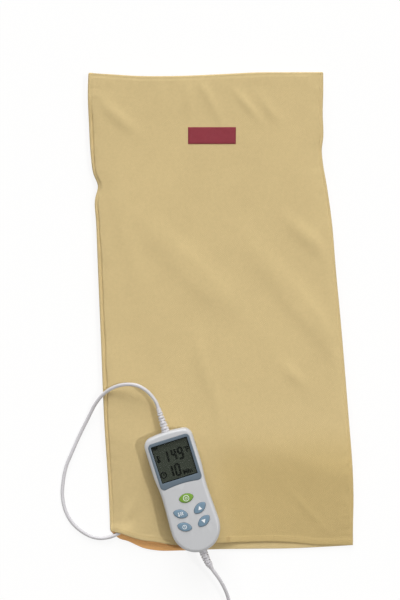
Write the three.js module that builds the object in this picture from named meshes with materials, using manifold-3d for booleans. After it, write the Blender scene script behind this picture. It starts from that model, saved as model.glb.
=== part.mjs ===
// Heating pad in a removable flannel cover, with its hand controller, lead, mains cord and plug.
// Millimetres, +Z up. The origin is under the middle of the cover, on the surface that it lies on.
// +Y points to the closed end of the cover, and the open end with the hem is at -Y.
import * as THREE from "three";
import { mergeVertices } from "three/addons/utils/BufferGeometryUtils.js";
import Module from "manifold-3d";

const wasm = await Module();
wasm.setup();

// Fits that many pieces share
const seatGap = 0.3;
const cutOverrun = 2;
const facetWeld = 0.0001;

// Cover
const coverHalfLength = 347.3;
const coverHalfWidth = 174;
const clothThickness = 1.6;
const seamFlange = 3;
const leftRoll = 18;
const rightRoll = 30;
const closedRoll = 10;
const mouthHeight = 6.4;
const hemFall = 85;
const foldHeight = 2.4;
const leadLift = 7;
const leadLiftSpread = 12.7;

// Sewn label
const labelWidth = 68;
const labelDepth = 24;
const labelThickness = 0.5;
const labelTurn = -3.16;

// Inner pad
const padSideRoom = 21;
const padShift = -4;
const padMouthInset = 55;
const padEndRoom = 25;
const padSheetThickness = 1.2;
const padRimWidth = 6;
const padRoll = 20;
const padMouthRoll = 60;
const battingThickness = 10;
const battingEdgeLines = 3;
const carrierThickness = 0.8;
const carrierInset = 12;
const wireDiameter = 2.4;
const wireInset = 28;
const wireReturnRoom = 16;
const cutoutLength = 18;
const cutoutWidth = 6;

// Gland where the lead enters the inner pad
const glandWidth = 28;
const glandDepth = 12;
const glandHeight = 6.4;
const glandCorner = 2;
const glandFromSide = 29;
const glandNoseLength = 18;
const glandNoseDrop = 3.9;
const glandNoseRadius = 3.2;
const glandTipRadius = 2.9;

// Cord
const cordDiameter = 5;
const coilGap = 0.6;
const coilCentreX = 28;
const coilCentreY = -472;
const coilOuterRadius = 34.4;
const coilBase = 2.6;
const coilLayers = 4;
const coilTurns = 10.25;

// Plug
const plugStartX = 82;
const plugHeight = 16;
const plugWidth = 25;
const plugLength = 32;
const plugTailLength = 20;
const plugTailRadius = 5.4;
const plugTipRadius = 3.7;
const plugEdge = 3;
const bladeLength = 17;
const bladeSeat = 6;
const bladeHeight = 6.4;
const bladeThickness = 1.5;
const bladeSpacing = 12.7;
const bladeTipChamfer = 1.6;

// Controller housing
const caseX = -65.04;
const caseY = -252.43;
const caseTurn = 14.3;
const caseLength = 175.5;
const caseDepth = 26;
const caseWall = 2.2;
const partingHeight = 13;
const headHalfWidth = 35.1;
const headStraightFromEnd = 52;
const headCorner = 13;
const headBow = 1.6;
const waistHalfWidth = 32.8;
const waistFromEnd = 89;
const waistEase = 13;
const lobeHalfWidth = 34.6;
const lobeLength = 35.5;
const frontEdgeRadius = 5;
const frontCrown = 0.4;
const backEdgeRadius = 8;

// Display
const bezelWidth = 60.3;
const bezelHeight = 67.4;
const bezelFromEnd = 43.75;
const bezelThickness = 1.55;
const bezelCorner = 6;
const bezelArch = 2.2;
const windowWidth = 53.2;
const windowHeight = 53.6;
const windowRise = 2.6;
const windowCorner = 1.5;
const windowThickness = 1.1;
const windowLedge = 1;
const displaySeatThickness = 1.8;
const recessDepth = 1.8;
const panelOverlap = 2.4;
const panelThickness = 2.6;
const holderWall = 3;

// Keys, switches and circuit board
const keyLength = 20.4;
const keyProud = 1.3;
const keyFlangeThickness = 1.2;
const keyPostRadius = 2.2;
const keyTravel = 0.8;
const keyTilt = 28;
const keyRowX = 14.1;
const switchSize = 6;
const switchBodyHeight = 3.2;
const plungerRadius = 1.7;
const plungerHeight = 1.4;
const boardBase = 11;
const boardThickness = 1.6;
const boardInset = 7.4;

// Case screws and their bosses
const screwRadius = 1.2;
const screwHeadRadius = 2.4;
const screwHeadHeight = 2;
const screwHeadDepth = 0.8;
const screwLength = 17;
const bossRadius = 3;
const headBossX = 22;
const headBossFromEnd = 8.5;
const lobeBossX = 14;
const lobeBossFromEnd = 17.5;

// Strain reliefs of the controller
const reliefCollarRadius = 6.4;
const reliefCollarLength = 3;
const reliefCollarRoom = 1;
const reliefNeckRadius = 4.6;
const reliefLength = 34;
const lowerReliefLength = 28;
const lowerReliefBend = 3.84;
const lowerReliefDroop = 3.5;
const ribPitch = 4;
const ribDepth = 1.1;
const ribBaseRadius = 6;
const ribTipRadius = 4.1;
const reliefTipRadius = 3.4;

// Electronic parts under the circuit board
const triacWidth = 10;
const triacLength = 15;
const triacHeight = 4.5;
const capacitorWidth = 8;
const capacitorLength = 18;
const capacitorHeight = 7.6;
const fuseRadius = 2.6;
const fuseLength = 20;
const fuseCapRadius = 2.9;
const fuseCapLength = 5;
const chipSize = 12;
const chipHeight = 1.8;
const buzzerRadius = 6;
const buzzerHeight = 6.6;
const buzzerPortRadius = 1;

// Edges of the cover as it lies, chosen by hand. Each row gives a place along the edge and how far
// out the edge is there, as shares of the half length and the half width.
const leftEdgeShares = [
  [-0.885, -1],
  [-0.7, -0.992],
  [-0.403, -0.992],
  [-0.107, -0.983],
  [0.19, -0.975],
  [0.386, -0.969],
  [0.478, -0.968],
  [0.534, -0.938],
  [0.585, -0.97],
  [0.659, -0.982],
  [0.777, -0.983],
  [0.93, -0.976],
  [1, -0.973],
];
const rightEdgeShares = [
  [-0.997, 0.98],
  [-0.902, 0.987],
  [-0.804, 0.997],
  [-0.69, 1],
  [-0.458, 0.99],
  [-0.062, 0.968],
  [0.136, 0.953],
  [0.334, 0.942],
  [0.484, 0.917],
  [0.582, 0.895],
  [0.631, 0.893],
  [0.68, 0.91],
  [0.78, 0.917],
  [0.878, 0.932],
  [0.951, 0.94],
];
const closedEdgeShares = [
  [-0.973, 1],
  [-0.798, 0.989],
  [-0.602, 0.9775],
  [-0.307, 0.9695],
  [0.186, 0.964],
  [0.432, 0.9634],
  [0.76, 0.956],
  [0.94, 0.951],
];
const frontHemShares = [
  [-1, -0.885],
  [-0.909, -0.896],
  [-0.779, -0.9226],
  [-0.623, -0.938],
  [-0.507, -0.952],
  [-0.146, -0.9557],
  [0.055, -0.9597],
  [0.403, -0.967],
  [0.554, -0.976],
  [0.668, -0.9856],
  [0.934, -0.995],
  [0.98, -0.997],
];
const backHemShares = [
  [-1, -0.885],
  [-0.944, -0.9133],
  [-0.859, -0.931],
  [-0.737, -0.962],
  [-0.628, -0.975],
  [-0.432, -0.981],
  [-0.128, -0.984],
  [0.135, -0.9896],
  [0.491, -0.997],
  [0.848, -0.9983],
  [0.98, -0.998],
];
// How far the mouth stands open along the hem: place across, and share of the mouth height.
const mouthShares = [
  [-1, 0],
  [-0.86, 0.6],
  [-0.7, 1],
  [0.5, 1],
  [0.74, 0.12],
  [1, 0],
];
// Soft folds: place across and along, turn from the long side in degrees, then length, width and
// height as shares of the half length, the half width and the fold height.
const foldShares = [
  [0.7, 0.3, 24, 0.2, 0.1, 1],
  [0.78, -0.02, 14, 0.24, 0.09, 0.8],
  [0.5, -0.5, -62, 0.16, 0.12, 0.8],
  [-0.78, 0.5, 58, 0.1, 0.07, 0.9],
  [-0.04, 0.93, 80, 0.1, 0.06, 0.7],
];
const labelPlaceShares = [0.009, 0.711];
const leadLiftShares = [-0.891, -0.893];
// Grid lines of the cloth, across and along, closest at the seams, the nip and the hem.
const clothColumnShares = [
  0, 0.009, 0.016, 0.026, 0.04, 0.062, 0.1, 0.17, 0.25, 0.34, 0.43, 0.52, 0.61, 0.69, 0.75, 0.8, 0.85,
  0.895, 0.92, 0.942, 0.962, 0.978, 0.991, 1,
];
const clothRowShares = [
  0, 0.014, 0.03, 0.06, 0.09, 0.125, 0.17, 0.23, 0.3, 0.37, 0.44, 0.51, 0.58, 0.64, 0.69, 0.73, 0.755,
  0.78, 0.81, 0.85, 0.9, 0.94, 0.965, 0.981, 0.988, 0.9925, 0.9955, 1,
];
// Grid lines of the inner pad. The batting starts some lines in from its edges.
const padColumnShares = [0, 0.0196, 0.03, 0.045, 0.062, 0.086, 0.3, 0.5, 0.7, 0.914, 0.938, 0.955, 0.97, 0.9804, 1];
const padRowShares = [0, 0.0098, 0.02, 0.034, 0.055, 0.075, 0.108, 0.3, 0.5, 0.75, 0.957, 0.967, 0.977, 0.984, 0.9902, 1];

// Rows of keys from the lower edge of the bezel to the lower end of the controller: the green key,
// the upper pair and the lower pair. Then the depths of a blue key and of the green key, as shares
// of the distance from the upper to the lower pair.
const keyRowShares = [0.1948, 0.3876, 0.5824];
const keyDepthShares = [0.618, 0.654];

// Free stretches of the cords, chosen by hand in millimetres.
const controllerLeadRoute = [
  [-146.28, -302.62, 4.9],
  [-151.5, -305, 4.6],
  [-158, -308.6, 4.4],
  [-165, -312.3, 4.4],
  [-172.5, -315.2, 3.9],
  [-181, -316.8, 3],
  [-190, -317, 2.6],
  [-202, -313.8, 2.6],
  [-216.3, -304.7, 2.6],
  [-228.2, -292.2, 2.6],
  [-236.6, -275, 2.6],
  [-239.8, -253.8, 2.6],
  [-237.6, -232.9, 2.6],
  [-232.3, -212.3, 2.6],
  [-222.7, -191.8, 2.6],
  [-210, -167.3, 2.7],
  [-197, -144.7, 5],
  [-185.2, -124.9, 10.4],
  [-173.5, -111.8, 16.6],
  [-158.2, -102.2, 24.4],
  [-141, -98.2, 31],
  [-124.3, -100, 35],
  [-111.6, -107.4, 35.8],
  [-103.2, -116.6, 35],
  [-97.3, -126.8, 34.2],
  [-95.26, -133.87, 33.9],
];
const mainsCordRoute = [
  [-32.5, -364.2, 30.34],
  [-29.6, -369.2, 29],
  [-23.8, -378.5, 25.9],
  [-18.2, -389.6, 22.1],
  [-13.9, -401, 17.8],
  [-11, -413, 13],
  [-9.4, -425, 8.6],
  [-8.3, -437, 5.3],
  [-7.4, -448, 3.4],
  [-6.8, -458, 2.7],
  [-6.4, -467, 2.6],
];
// The end of the coil, from its last turn down to the plug.
const coilTailRoute = [
  [34, -506.4, 19.4],
  [41, -506.4, 19.2],
  [48, -506.4, 17.8],
  [54, -506.4, 15.4],
  [60, -506.4, 12.6],
  [66, -506.4, 10.2],
  [72, -506.4, 8.6],
  [77, -506.4, 8],
  [81.7, -506.4, 8],
];

// Heights of the stacked layers, from the surface up
const rimUnder = clothThickness + seatGap;
const lowerSheetTop = rimUnder + padSheetThickness;
const carrierUnder = lowerSheetTop + seatGap;
const wireUnder = carrierUnder + carrierThickness + seatGap;
const battingUnder = wireUnder + wireDiameter + seatGap;
const battingTop = battingUnder + battingThickness;
const padCrownTop = battingTop + seatGap + padSheetThickness;
const coverCrownUnder = padCrownTop + seatGap;
const coverCrownTop = coverCrownUnder + clothThickness;
const caseUnder = coverCrownTop + seatGap;

// Inner pad's edges
const padHalfWidth = coverHalfWidth - padSideRoom;
const padLeft = padShift - padHalfWidth;
const padRight = padShift + padHalfWidth;
const padMouthEnd = padMouthInset - coverHalfLength;
const padFarEnd = coverHalfLength - padEndRoom;
const padRimTop = carrierUnder + padSheetThickness;

// Places along the controller
const headStraightY = caseLength / 2 - headStraightFromEnd;
const waistY = caseLength / 2 - waistFromEnd;
const bezelY = caseLength / 2 - bezelFromEnd;
const windowY = bezelY + windowRise;
const bezelLowY = bezelY - bezelHeight / 2;
const [powerKeyY, upperKeyY, lowerKeyY] = keyRowShares.map((share) =>
  THREE.MathUtils.lerp(bezelLowY, -caseLength / 2, share),
);
const [keyDepth, powerKeyDepth] = keyDepthShares.map((share) => share * (upperKeyY - lowerKeyY));

// Heights inside the controller, from its underside up
const frontRoof = caseDepth - caseWall;
const boardTop = boardBase + boardThickness;
const switchTop = boardTop + seatGap + switchBodyHeight + plungerHeight;
const recessFloor = caseDepth - recessDepth;
const displaySeatUnder = recessFloor - displaySeatThickness;
const panelTop = displaySeatUnder - seatGap;

const materials = {
  flannel: { color: 0xcbb785, roughness: 0.95, metalness: 0 },
  label: { color: 0x872637, roughness: 0.85, metalness: 0 },
  padSheet: { color: 0xe4dccb, roughness: 0.8, metalness: 0 },
  batting: { color: 0xf1eee6, roughness: 1, metalness: 0 },
  carrier: { color: 0xd9d5c8, roughness: 0.9, metalness: 0 },
  wire: { color: 0xc9763c, roughness: 0.6, metalness: 0 },
  cord: { color: 0xd7d5de, roughness: 0.5, metalness: 0 },
  housing: { color: 0xcdcdd0, roughness: 0.45, metalness: 0 },
  bezel: { color: 0x627084, roughness: 0.35, metalness: 0 },
  window: { color: 0x42463e, roughness: 0.1, metalness: 0 },
  display: { color: 0x4c5147, roughness: 0.4, metalness: 0 },
  greenKey: { color: 0x76a828, roughness: 0.4, metalness: 0 },
  blueKey: { color: 0x6e8faa, roughness: 0.4, metalness: 0 },
  board: { color: 0x2d6a3e, roughness: 0.6, metalness: 0 },
  darkPart: { color: 0x26272a, roughness: 0.5, metalness: 0 },
  capacitor: { color: 0xb8902a, roughness: 0.5, metalness: 0 },
  ceramic: { color: 0xe6e2d6, roughness: 0.5, metalness: 0 },
  steel: { color: 0xb4b6b8, roughness: 0.35, metalness: 1 },
  brass: { color: 0xc9a64f, roughness: 0.3, metalness: 1 },
};

const heatingPad = new THREE.Group();
const controller = new THREE.Group();
controller.position.set(caseX, caseY, caseUnder);
controller.rotation.z = THREE.MathUtils.degToRad(caseTurn);
heatingPad.add(controller);

function place(parent, name, geometry, finish) {
  const mesh = new THREE.Mesh(geometry, new THREE.MeshStandardMaterial(materials[finish]));
  mesh.name = name;
  parent.add(mesh);
  return mesh;
}

// Closed geometry to a solid for joining and cutting, and back.
function toSolid(geometry) {
  const bare = geometry.clone();
  bare.deleteAttribute("normal");
  bare.deleteAttribute("uv");
  const merged = mergeVertices(bare, facetWeld);
  return new wasm.Manifold(
    new wasm.Mesh({
      numProp: 3,
      vertProperties: new Float32Array(merged.attributes.position.array),
      triVerts: new Uint32Array(merged.index.array),
    }),
  );
}

function toGeometry(solid) {
  const mesh = solid.getMesh();
  const geometry = new THREE.BufferGeometry();
  geometry.setAttribute("position", new THREE.BufferAttribute(mesh.vertProperties, 3));
  geometry.setIndex(new THREE.BufferAttribute(mesh.triVerts, 1));
  geometry.computeVertexNormals();
  return geometry;
}

const joined = (first, ...others) => others.reduce((sum, other) => sum.add(toSolid(other)), toSolid(first));
const cutFrom = (solid, ...tools) => tools.reduce((rest, tool) => rest.subtract(toSolid(tool)), solid);

// Reads a table of rows [place, value] between its rows along straight lines.
function readTable(rows, place) {
  const next = rows.findIndex((row) => row[0] >= place);
  if (next === 0) return rows[0][1];
  if (next < 0) return rows[rows.length - 1][1];
  const [before, after] = [rows[next - 1], rows[next]];
  const share = (place - before[0]) / (after[0] - before[0]);
  return THREE.MathUtils.lerp(before[1], after[1], share);
}

// A closed surface through rings of points, each counterclockwise seen from the side that the rings
// go towards, with a fan at each end.
function loft(rings) {
  const count = rings[0].length;
  const points = rings.flat();
  const faces = [];
  rings.slice(1).forEach((_, ring) => {
    const low = ring * count;
    for (let i = 0; i < count; i++) {
      const next = (i + 1) % count;
      faces.push(low + i, low + next, low + count + next);
      faces.push(low + i, low + count + next, low + count + i);
    }
  });
  const ends = [rings[0], rings[rings.length - 1]].map((ring) =>
    ring.reduce((sum, point) => sum.add(point), new THREE.Vector3()).divideScalar(count),
  );
  const firstCentre = points.length;
  const lastRing = (rings.length - 1) * count;
  points.push(...ends);
  for (let i = 0; i < count; i++) {
    const next = (i + 1) % count;
    faces.push(firstCentre, next, i);
    faces.push(firstCentre + 1, lastRing + i, lastRing + next);
  }
  const geometry = new THREE.BufferGeometry().setFromPoints(points);
  geometry.setIndex(faces);
  geometry.computeVertexNormals();
  return geometry;
}

// A closed sheet over a grid: upper and lower give the point of each face at a column and a row.
function sheet(columns, rows, upper, lower) {
  const points = [];
  const faces = [];
  for (const face of [upper, lower]) {
    for (const along of rows) for (const across of columns) points.push(face(across, along));
  }
  const wide = columns.length;
  const high = rows.length;
  const underside = wide * high;
  for (let j = 0; j < high - 1; j++) {
    for (let i = 0; i < wide - 1; i++) {
      const a = j * wide + i;
      const b = a + 1;
      const c = b + wide;
      const d = a + wide;
      faces.push(a, b, c, a, c, d);
      faces.push(underside + a, underside + c, underside + b);
      faces.push(underside + a, underside + d, underside + c);
    }
  }
  const rim = [];
  for (let i = 0; i < wide - 1; i++) rim.push(i);
  for (let j = 0; j < high - 1; j++) rim.push(j * wide + wide - 1);
  for (let i = wide - 1; i > 0; i--) rim.push((high - 1) * wide + i);
  for (let j = high - 1; j > 0; j--) rim.push(j * wide);
  rim.forEach((from, k) => {
    const to = rim[(k + 1) % rim.length];
    faces.push(from, underside + from, underside + to, from, underside + to, to);
  });
  const geometry = new THREE.BufferGeometry().setFromPoints(points);
  geometry.setIndex(faces);
  geometry.computeVertexNormals();
  return geometry;
}

// A round tube whose radius changes along its path. Each station is a point of the path and a
// radius, and each ring stands square to the path there.
function sweep(stations, sides) {
  const up = new THREE.Vector3(0, 0, 1);
  const rings = stations.map(([point, radius], k) => {
    const before = stations[Math.max(k - 1, 0)][0];
    const after = stations[Math.min(k + 1, stations.length - 1)][0];
    const ahead = after.clone().sub(before).normalize();
    const side = up.clone().cross(ahead).normalize();
    const rise = ahead.clone().cross(side);
    return Array.from({ length: sides }, (_, i) => {
      const turn = (2 * Math.PI * i) / sides;
      return point
        .clone()
        .addScaledVector(side, radius * Math.cos(turn))
        .addScaledVector(rise, radius * Math.sin(turn));
    });
  });
  return loft(rings);
}

// Stands a flat outline up by its height, from a base height.
function raise(outline, base, height, curveSegments = 6) {
  const geometry = new THREE.ExtrudeGeometry(outline, { depth: height, bevelEnabled: false, curveSegments });
  return geometry.translate(0, 0, base);
}

function roundedRectangle(width, height, corner, centreX = 0, centreY = 0) {
  const right = centreX + width / 2 - corner;
  const left = centreX - width / 2 + corner;
  const high = centreY + height / 2 - corner;
  const low = centreY - height / 2 + corner;
  const outline = new THREE.Shape();
  outline.absarc(right, high, corner, 0, Math.PI / 2, false);
  outline.absarc(left, high, corner, Math.PI / 2, Math.PI, false);
  outline.absarc(left, low, corner, Math.PI, 1.5 * Math.PI, false);
  outline.absarc(right, low, corner, 1.5 * Math.PI, 2 * Math.PI, false);
  return outline;
}

function box(width, depth, height, x, y, base) {
  return new THREE.BoxGeometry(width, depth, height).translate(x, y, base + height / 2);
}

function post(radius, base, height, x, y, sides = 24) {
  const cylinder = new THREE.CylinderGeometry(radius, radius, height, sides);
  return cylinder.rotateX(Math.PI / 2).translate(x, y, base + height / 2);
}

// A tube of one diameter along a hand-chosen route or a computed centreline.
function cord(curve, sides, steps) {
  const section = new THREE.Shape();
  for (let i = 0; i < sides; i++) {
    const turn = (2 * Math.PI * i) / sides;
    const [x, y] = [(cordDiameter / 2) * Math.cos(turn), (cordDiameter / 2) * Math.sin(turn)];
    if (i === 0) section.moveTo(x, y);
    else section.lineTo(x, y);
  }
  section.closePath();
  return new THREE.ExtrudeGeometry(section, { steps, extrudePath: curve, bevelEnabled: false });
}

const curveThrough = (route) => new THREE.CatmullRomCurve3(route.map((point) => new THREE.Vector3(...point)));

// Cover

const leftEdge = (y) => coverHalfWidth * readTable(leftEdgeShares, y / coverHalfLength);
const rightEdge = (y) => coverHalfWidth * readTable(rightEdgeShares, y / coverHalfLength);
const closedEdge = (x) => coverHalfLength * readTable(closedEdgeShares, x / coverHalfWidth);
const hemEdge = (x, hemShares) => coverHalfLength * readTable(hemShares, x / coverHalfWidth);

// Height share of cloth that rolls over the side of the pad, from 0 at the seam to 1 on top.
function rollShare(distance, width) {
  const left = 1 - THREE.MathUtils.clamp(distance / width, 0, 1);
  return 1 - left ** 3;
}

// Height share of cloth that falls to the hem: an even slope, then a rounded shoulder.
function fallShare(distance, width) {
  const along = THREE.MathUtils.clamp(distance / width, 0, 1);
  const beyond = Math.max(2 * along - 1, 0);
  return (4 * along - beyond * beyond) / 3;
}

function foldRise(x, y) {
  return foldShares.reduce((sum, [across, along, turn, long, wide, height]) => {
    const angle = THREE.MathUtils.degToRad(turn);
    const dx = x - across * coverHalfWidth;
    const dy = y - along * coverHalfLength;
    const lengthwise = (dy * Math.cos(angle) - dx * Math.sin(angle)) / (long * coverHalfLength);
    const sideways = (dx * Math.cos(angle) + dy * Math.sin(angle)) / (wide * coverHalfWidth);
    return sum + height * foldHeight * Math.exp(-lengthwise * lengthwise - sideways * sideways);
  }, 0);
}

// Underside of the front cloth: flat on the seams, over the crown of the pad, and falling to the hem.
function frontUnder(x, y) {
  const left = rollShare(x - leftEdge(y) - seamFlange, leftRoll);
  const right = rollShare(rightEdge(y) - x - seamFlange, rightRoll);
  const lifted = left * right * rollShare(closedEdge(x) - y - seamFlange, closedRoll);
  const open = readTable(mouthShares, x / coverHalfWidth) * (clothThickness + mouthHeight - rimUnder);
  const crown = coverCrownUnder - rimUnder;
  const stand = fallShare(y - hemEdge(x, frontHemShares), hemFall);
  const level = THREE.MathUtils.lerp(open / crown, 1, stand);
  const liftX = x - leadLiftShares[0] * coverHalfWidth;
  const liftY = y - leadLiftShares[1] * coverHalfLength;
  const overLead = Math.exp(-(liftX * liftX + liftY * liftY) / (leadLiftSpread * leadLiftSpread));
  return rimUnder + lifted * (crown * level + foldRise(x, y)) + leadLift * overLead;
}

function coverPoint(across, along, hemShares) {
  const roughX = (2 * across - 1) * coverHalfWidth;
  const y = THREE.MathUtils.lerp(hemEdge(roughX, hemShares), closedEdge(roughX), along);
  return [THREE.MathUtils.lerp(leftEdge(y), rightEdge(y), across), y];
}

function coverFront() {
  const at = (lift) => (across, along) => {
    const [x, y] = coverPoint(across, along, frontHemShares);
    return new THREE.Vector3(x, y, frontUnder(x, y) + lift);
  };
  place(heatingPad, "cover_front", sheet(clothColumnShares, clothRowShares, at(clothThickness), at(0)), "flannel");
}

function coverBack() {
  const mouth = clothColumnShares.map((across) => coverPoint(across, 0, backHemShares));
  const right = clothRowShares.map((along) => coverPoint(1, along, backHemShares));
  const closed = clothColumnShares.map((across) => coverPoint(1 - across, 1, backHemShares));
  const left = clothRowShares.map((along) => coverPoint(0, 1 - along, backHemShares));
  const around = [mouth, right, closed, left].flatMap((side) => side.slice(0, -1));
  const outline = new THREE.Shape(around.map(([x, y]) => new THREE.Vector2(x, y)));
  place(heatingPad, "cover_back", raise(outline, 0, clothThickness), "flannel");
}

function coverLabel() {
  const turn = THREE.MathUtils.degToRad(labelTurn);
  const at = (lift) => (across, along) => {
    const u = (across - 1 / 2) * labelWidth;
    const v = (along - 1 / 2) * labelDepth;
    const x = labelPlaceShares[0] * coverHalfWidth + u * Math.cos(turn) - v * Math.sin(turn);
    const y = labelPlaceShares[1] * coverHalfLength + u * Math.sin(turn) + v * Math.cos(turn);
    return new THREE.Vector3(x, y, frontUnder(x, y) + clothThickness + seatGap + lift);
  };
  const lines = [0, 0.25, 0.5, 0.75, 1];
  place(heatingPad, "cover_label", sheet(lines, lines, at(labelThickness), at(0)), "label");
}

// Inner pad

// Underside of the upper pad sheet, from its welded rim up over the batting.
function padSheetUnder(x, y) {
  const side = rollShare(Math.min(x - padLeft, padRight - x) - padRimWidth, padRoll);
  const far = rollShare(padFarEnd - y - padRimWidth, padRoll);
  const near = rollShare(y - padMouthEnd - padRimWidth, padMouthRoll);
  return THREE.MathUtils.lerp(carrierUnder, battingTop + seatGap, side * far * near);
}

function padSheets() {
  const at = (lift) => (across, along) => {
    const x = THREE.MathUtils.lerp(padLeft, padRight, across);
    const y = THREE.MathUtils.lerp(padMouthEnd, padFarEnd, along);
    return new THREE.Vector3(x, y, padSheetUnder(x, y) + lift);
  };
  const upper = sheet(padColumnShares, padRowShares, at(padSheetThickness), at(0));
  place(heatingPad, "pad_upper_sheet", upper, "padSheet");
  const [width, length] = [padRight - padLeft, padFarEnd - padMouthEnd];
  const middle = (padFarEnd + padMouthEnd) / 2;
  const lower = box(width, length, padSheetThickness, padShift, middle, rimUnder);
  place(heatingPad, "pad_lower_sheet", lower, "padSheet");
  const carrier = box(
    width - 2 * carrierInset,
    length - 2 * carrierInset,
    carrierThickness,
    padShift,
    middle,
    carrierUnder,
  );
  place(heatingPad, "heater_carrier", carrier, "carrier");
}

function padBatting() {
  const at = (height) => (across, along) => {
    const x = THREE.MathUtils.lerp(padLeft, padRight, across);
    const y = THREE.MathUtils.lerp(padMouthEnd, padFarEnd, along);
    return new THREE.Vector3(x, y, height(x, y));
  };
  const upper = at((x, y) => padSheetUnder(x, y) - seatGap);
  const lower = at(() => battingUnder);
  const within = (lines) => lines.slice(battingEdgeLines, -battingEdgeLines);
  place(heatingPad, "batting", sheet(within(padColumnShares), within(padRowShares), upper, lower), "batting");
}

// One wire laid up and down the pad in even runs, then back along the mouth end to its start.
const wireRuns = 8;
const wireFirstX = padLeft + wireInset;
const wirePitch = (padRight - padLeft - 2 * wireInset) / (wireRuns - 1);

function heatingWire() {
  const centre = wireUnder + wireDiameter / 2;
  const bend = wirePitch / 2;
  const low = padMouthEnd + wireInset + wireReturnRoom + bend;
  const high = padFarEnd - wireInset - bend;
  const path = [[wireFirstX, low - bend]];
  const bendSteps = 4;
  for (let run = 0; run < wireRuns; run++) {
    const x = wireFirstX + run * wirePitch;
    const upward = run % 2 === 0;
    path.push([x, upward ? low : high], [x, upward ? high : low]);
    if (run === wireRuns - 1) break;
    for (let step = 1; step < bendSteps; step++) {
      const turn = (Math.PI * step) / bendSteps;
      const reach = bend * Math.sin(turn);
      path.push([x + bend * (1 - Math.cos(turn)), upward ? high + reach : low - reach]);
    }
  }
  const returnY = padMouthEnd + wireInset;
  path.push([padRight - wireInset, returnY + bend]);
  path.push([padRight - wireInset - bend / 2, returnY + bend / 4]);
  path.push([padRight - wireInset - bend, returnY], [wireFirstX + bend, returnY]);
  const stations = path.map(([x, y]) => [new THREE.Vector3(x, y, centre), wireDiameter / 2]);
  place(heatingPad, "heating_wire", sweep(stations, 6), "wire");
}

function thermalCutouts() {
  const length = padFarEnd - padMouthEnd;
  const placeShares = [
    [1.5, 0.3],
    [4.5, 0.7],
  ];
  placeShares.forEach(([run, along], i) => {
    const capsule = roundedRectangle(cutoutWidth, cutoutLength, cutoutWidth / 3);
    const geometry = raise(capsule, wireUnder, wireDiameter, 2);
    geometry.translate(wireFirstX + run * wirePitch, padMouthEnd + along * length, 0);
    place(heatingPad, "thermal_cutout_" + (i + 1), geometry, "darkPart");
  });
}

function leadGland() {
  const left = padLeft + glandFromSide;
  const faceY = padMouthEnd - seatGap;
  const middleY = faceY - glandDepth / 2;
  const outline = roundedRectangle(glandWidth, glandDepth, glandCorner, left + glandWidth / 2, middleY);
  const block = raise(outline, rimUnder, glandHeight);
  const height = rimUnder + glandHeight / 2;
  const nose = new THREE.QuadraticBezierCurve3(
    new THREE.Vector3(left + glandCorner, middleY, height),
    new THREE.Vector3(left - glandNoseLength / 2, middleY, height),
    new THREE.Vector3(left - glandNoseLength, middleY - glandNoseDrop, height - seatGap / 2),
  );
  const rings = 5;
  const stations = [];
  for (let i = 0; i < rings; i++) {
    const base = THREE.MathUtils.lerp(glandNoseRadius, glandTipRadius, i / rings);
    stations.push([nose.getPoint(i / rings), base]);
    stations.push([nose.getPoint((i + 1 / 2) / rings), base]);
    stations.push([nose.getPoint((i + 1 / 2) / rings), glandTipRadius - ribDepth / 4]);
  }
  stations.push([nose.getPoint(1), glandTipRadius - ribDepth / 4]);
  const spaced = stations.filter(([point], i) => i === 0 || !point.equals(stations[i - 1][0]));
  place(heatingPad, "lead_gland", toGeometry(joined(block, sweep(spaced, 10))), "cord");
}

// Cords and plug

function freeCords() {
  const lead = curveThrough(controllerLeadRoute);
  const mains = curveThrough(mainsCordRoute);
  place(heatingPad, "controller_lead", cord(lead, 10, 36), "cord");
  place(heatingPad, "mains_cord", cord(mains, 10, 16), "cord");
}

// The put-away length winds inwards and outwards in turn at a steady rate, one layer on the next,
// and climbs a layer in the half turn where it reverses.
function coilPoint(turn) {
  const turnsPerLayer = coilTurns / coilLayers;
  const layer = Math.min(Math.floor(turn / turnsPerLayer), coilLayers - 1);
  const within = turn - layer * turnsPerLayer;
  const inward = layer % 2 === 0 ? within : turnsPerLayer - within;
  const pitch = cordDiameter + coilGap;
  let climbed = 0;
  for (let reversal = 1; reversal < coilLayers; reversal++) {
    const start = reversal * turnsPerLayer - 1 / 4;
    climbed += THREE.MathUtils.smoothstep(turn, start, start + 1 / 2);
  }
  const radius = coilOuterRadius - pitch * inward;
  const angle = Math.PI + 2 * Math.PI * turn;
  const x = coilCentreX + radius * Math.cos(angle);
  const y = coilCentreY + radius * Math.sin(angle);
  return new THREE.Vector3(x, y, coilBase + pitch * climbed);
}

function coilPath() {
  const stepsPerTurn = 24;
  const steps = Math.round(coilTurns * stepsPerTurn);
  const start = coilPoint(0);
  const points = [start.clone().add(new THREE.Vector3(0, cordDiameter - seatGap, 0))];
  for (let i = 0; i <= steps; i++) points.push(coilPoint((coilTurns * i) / steps));
  points.push(...coilTailRoute.map((point) => new THREE.Vector3(...point)));
  return points;
}

// Least distance between the surfaces of two stretches of the coil that aren't next to each other.
function leastCoilGap(curve) {
  const samples = curve.getSpacedPoints(1200);
  const stride = Math.ceil((3 * cordDiameter * samples.length) / curve.getLength());
  let least = Infinity;
  for (let i = 0; i < samples.length; i++) {
    for (let j = i + stride; j < samples.length; j++) {
      least = Math.min(least, samples[i].distanceTo(samples[j]));
    }
  }
  return least - cordDiameter;
}

function mainsCoil() {
  const points = coilPath();
  const curve = new THREE.CatmullRomCurve3(points);
  curve.arcLengthDivisions = points.length * 8;
  console.log("least gap of the coil to itself, mm: " + leastCoilGap(curve).toFixed(2));
  place(heatingPad, "mains_cord_coil", cord(curve, 6, points.length - 1), "cord");
}

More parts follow.
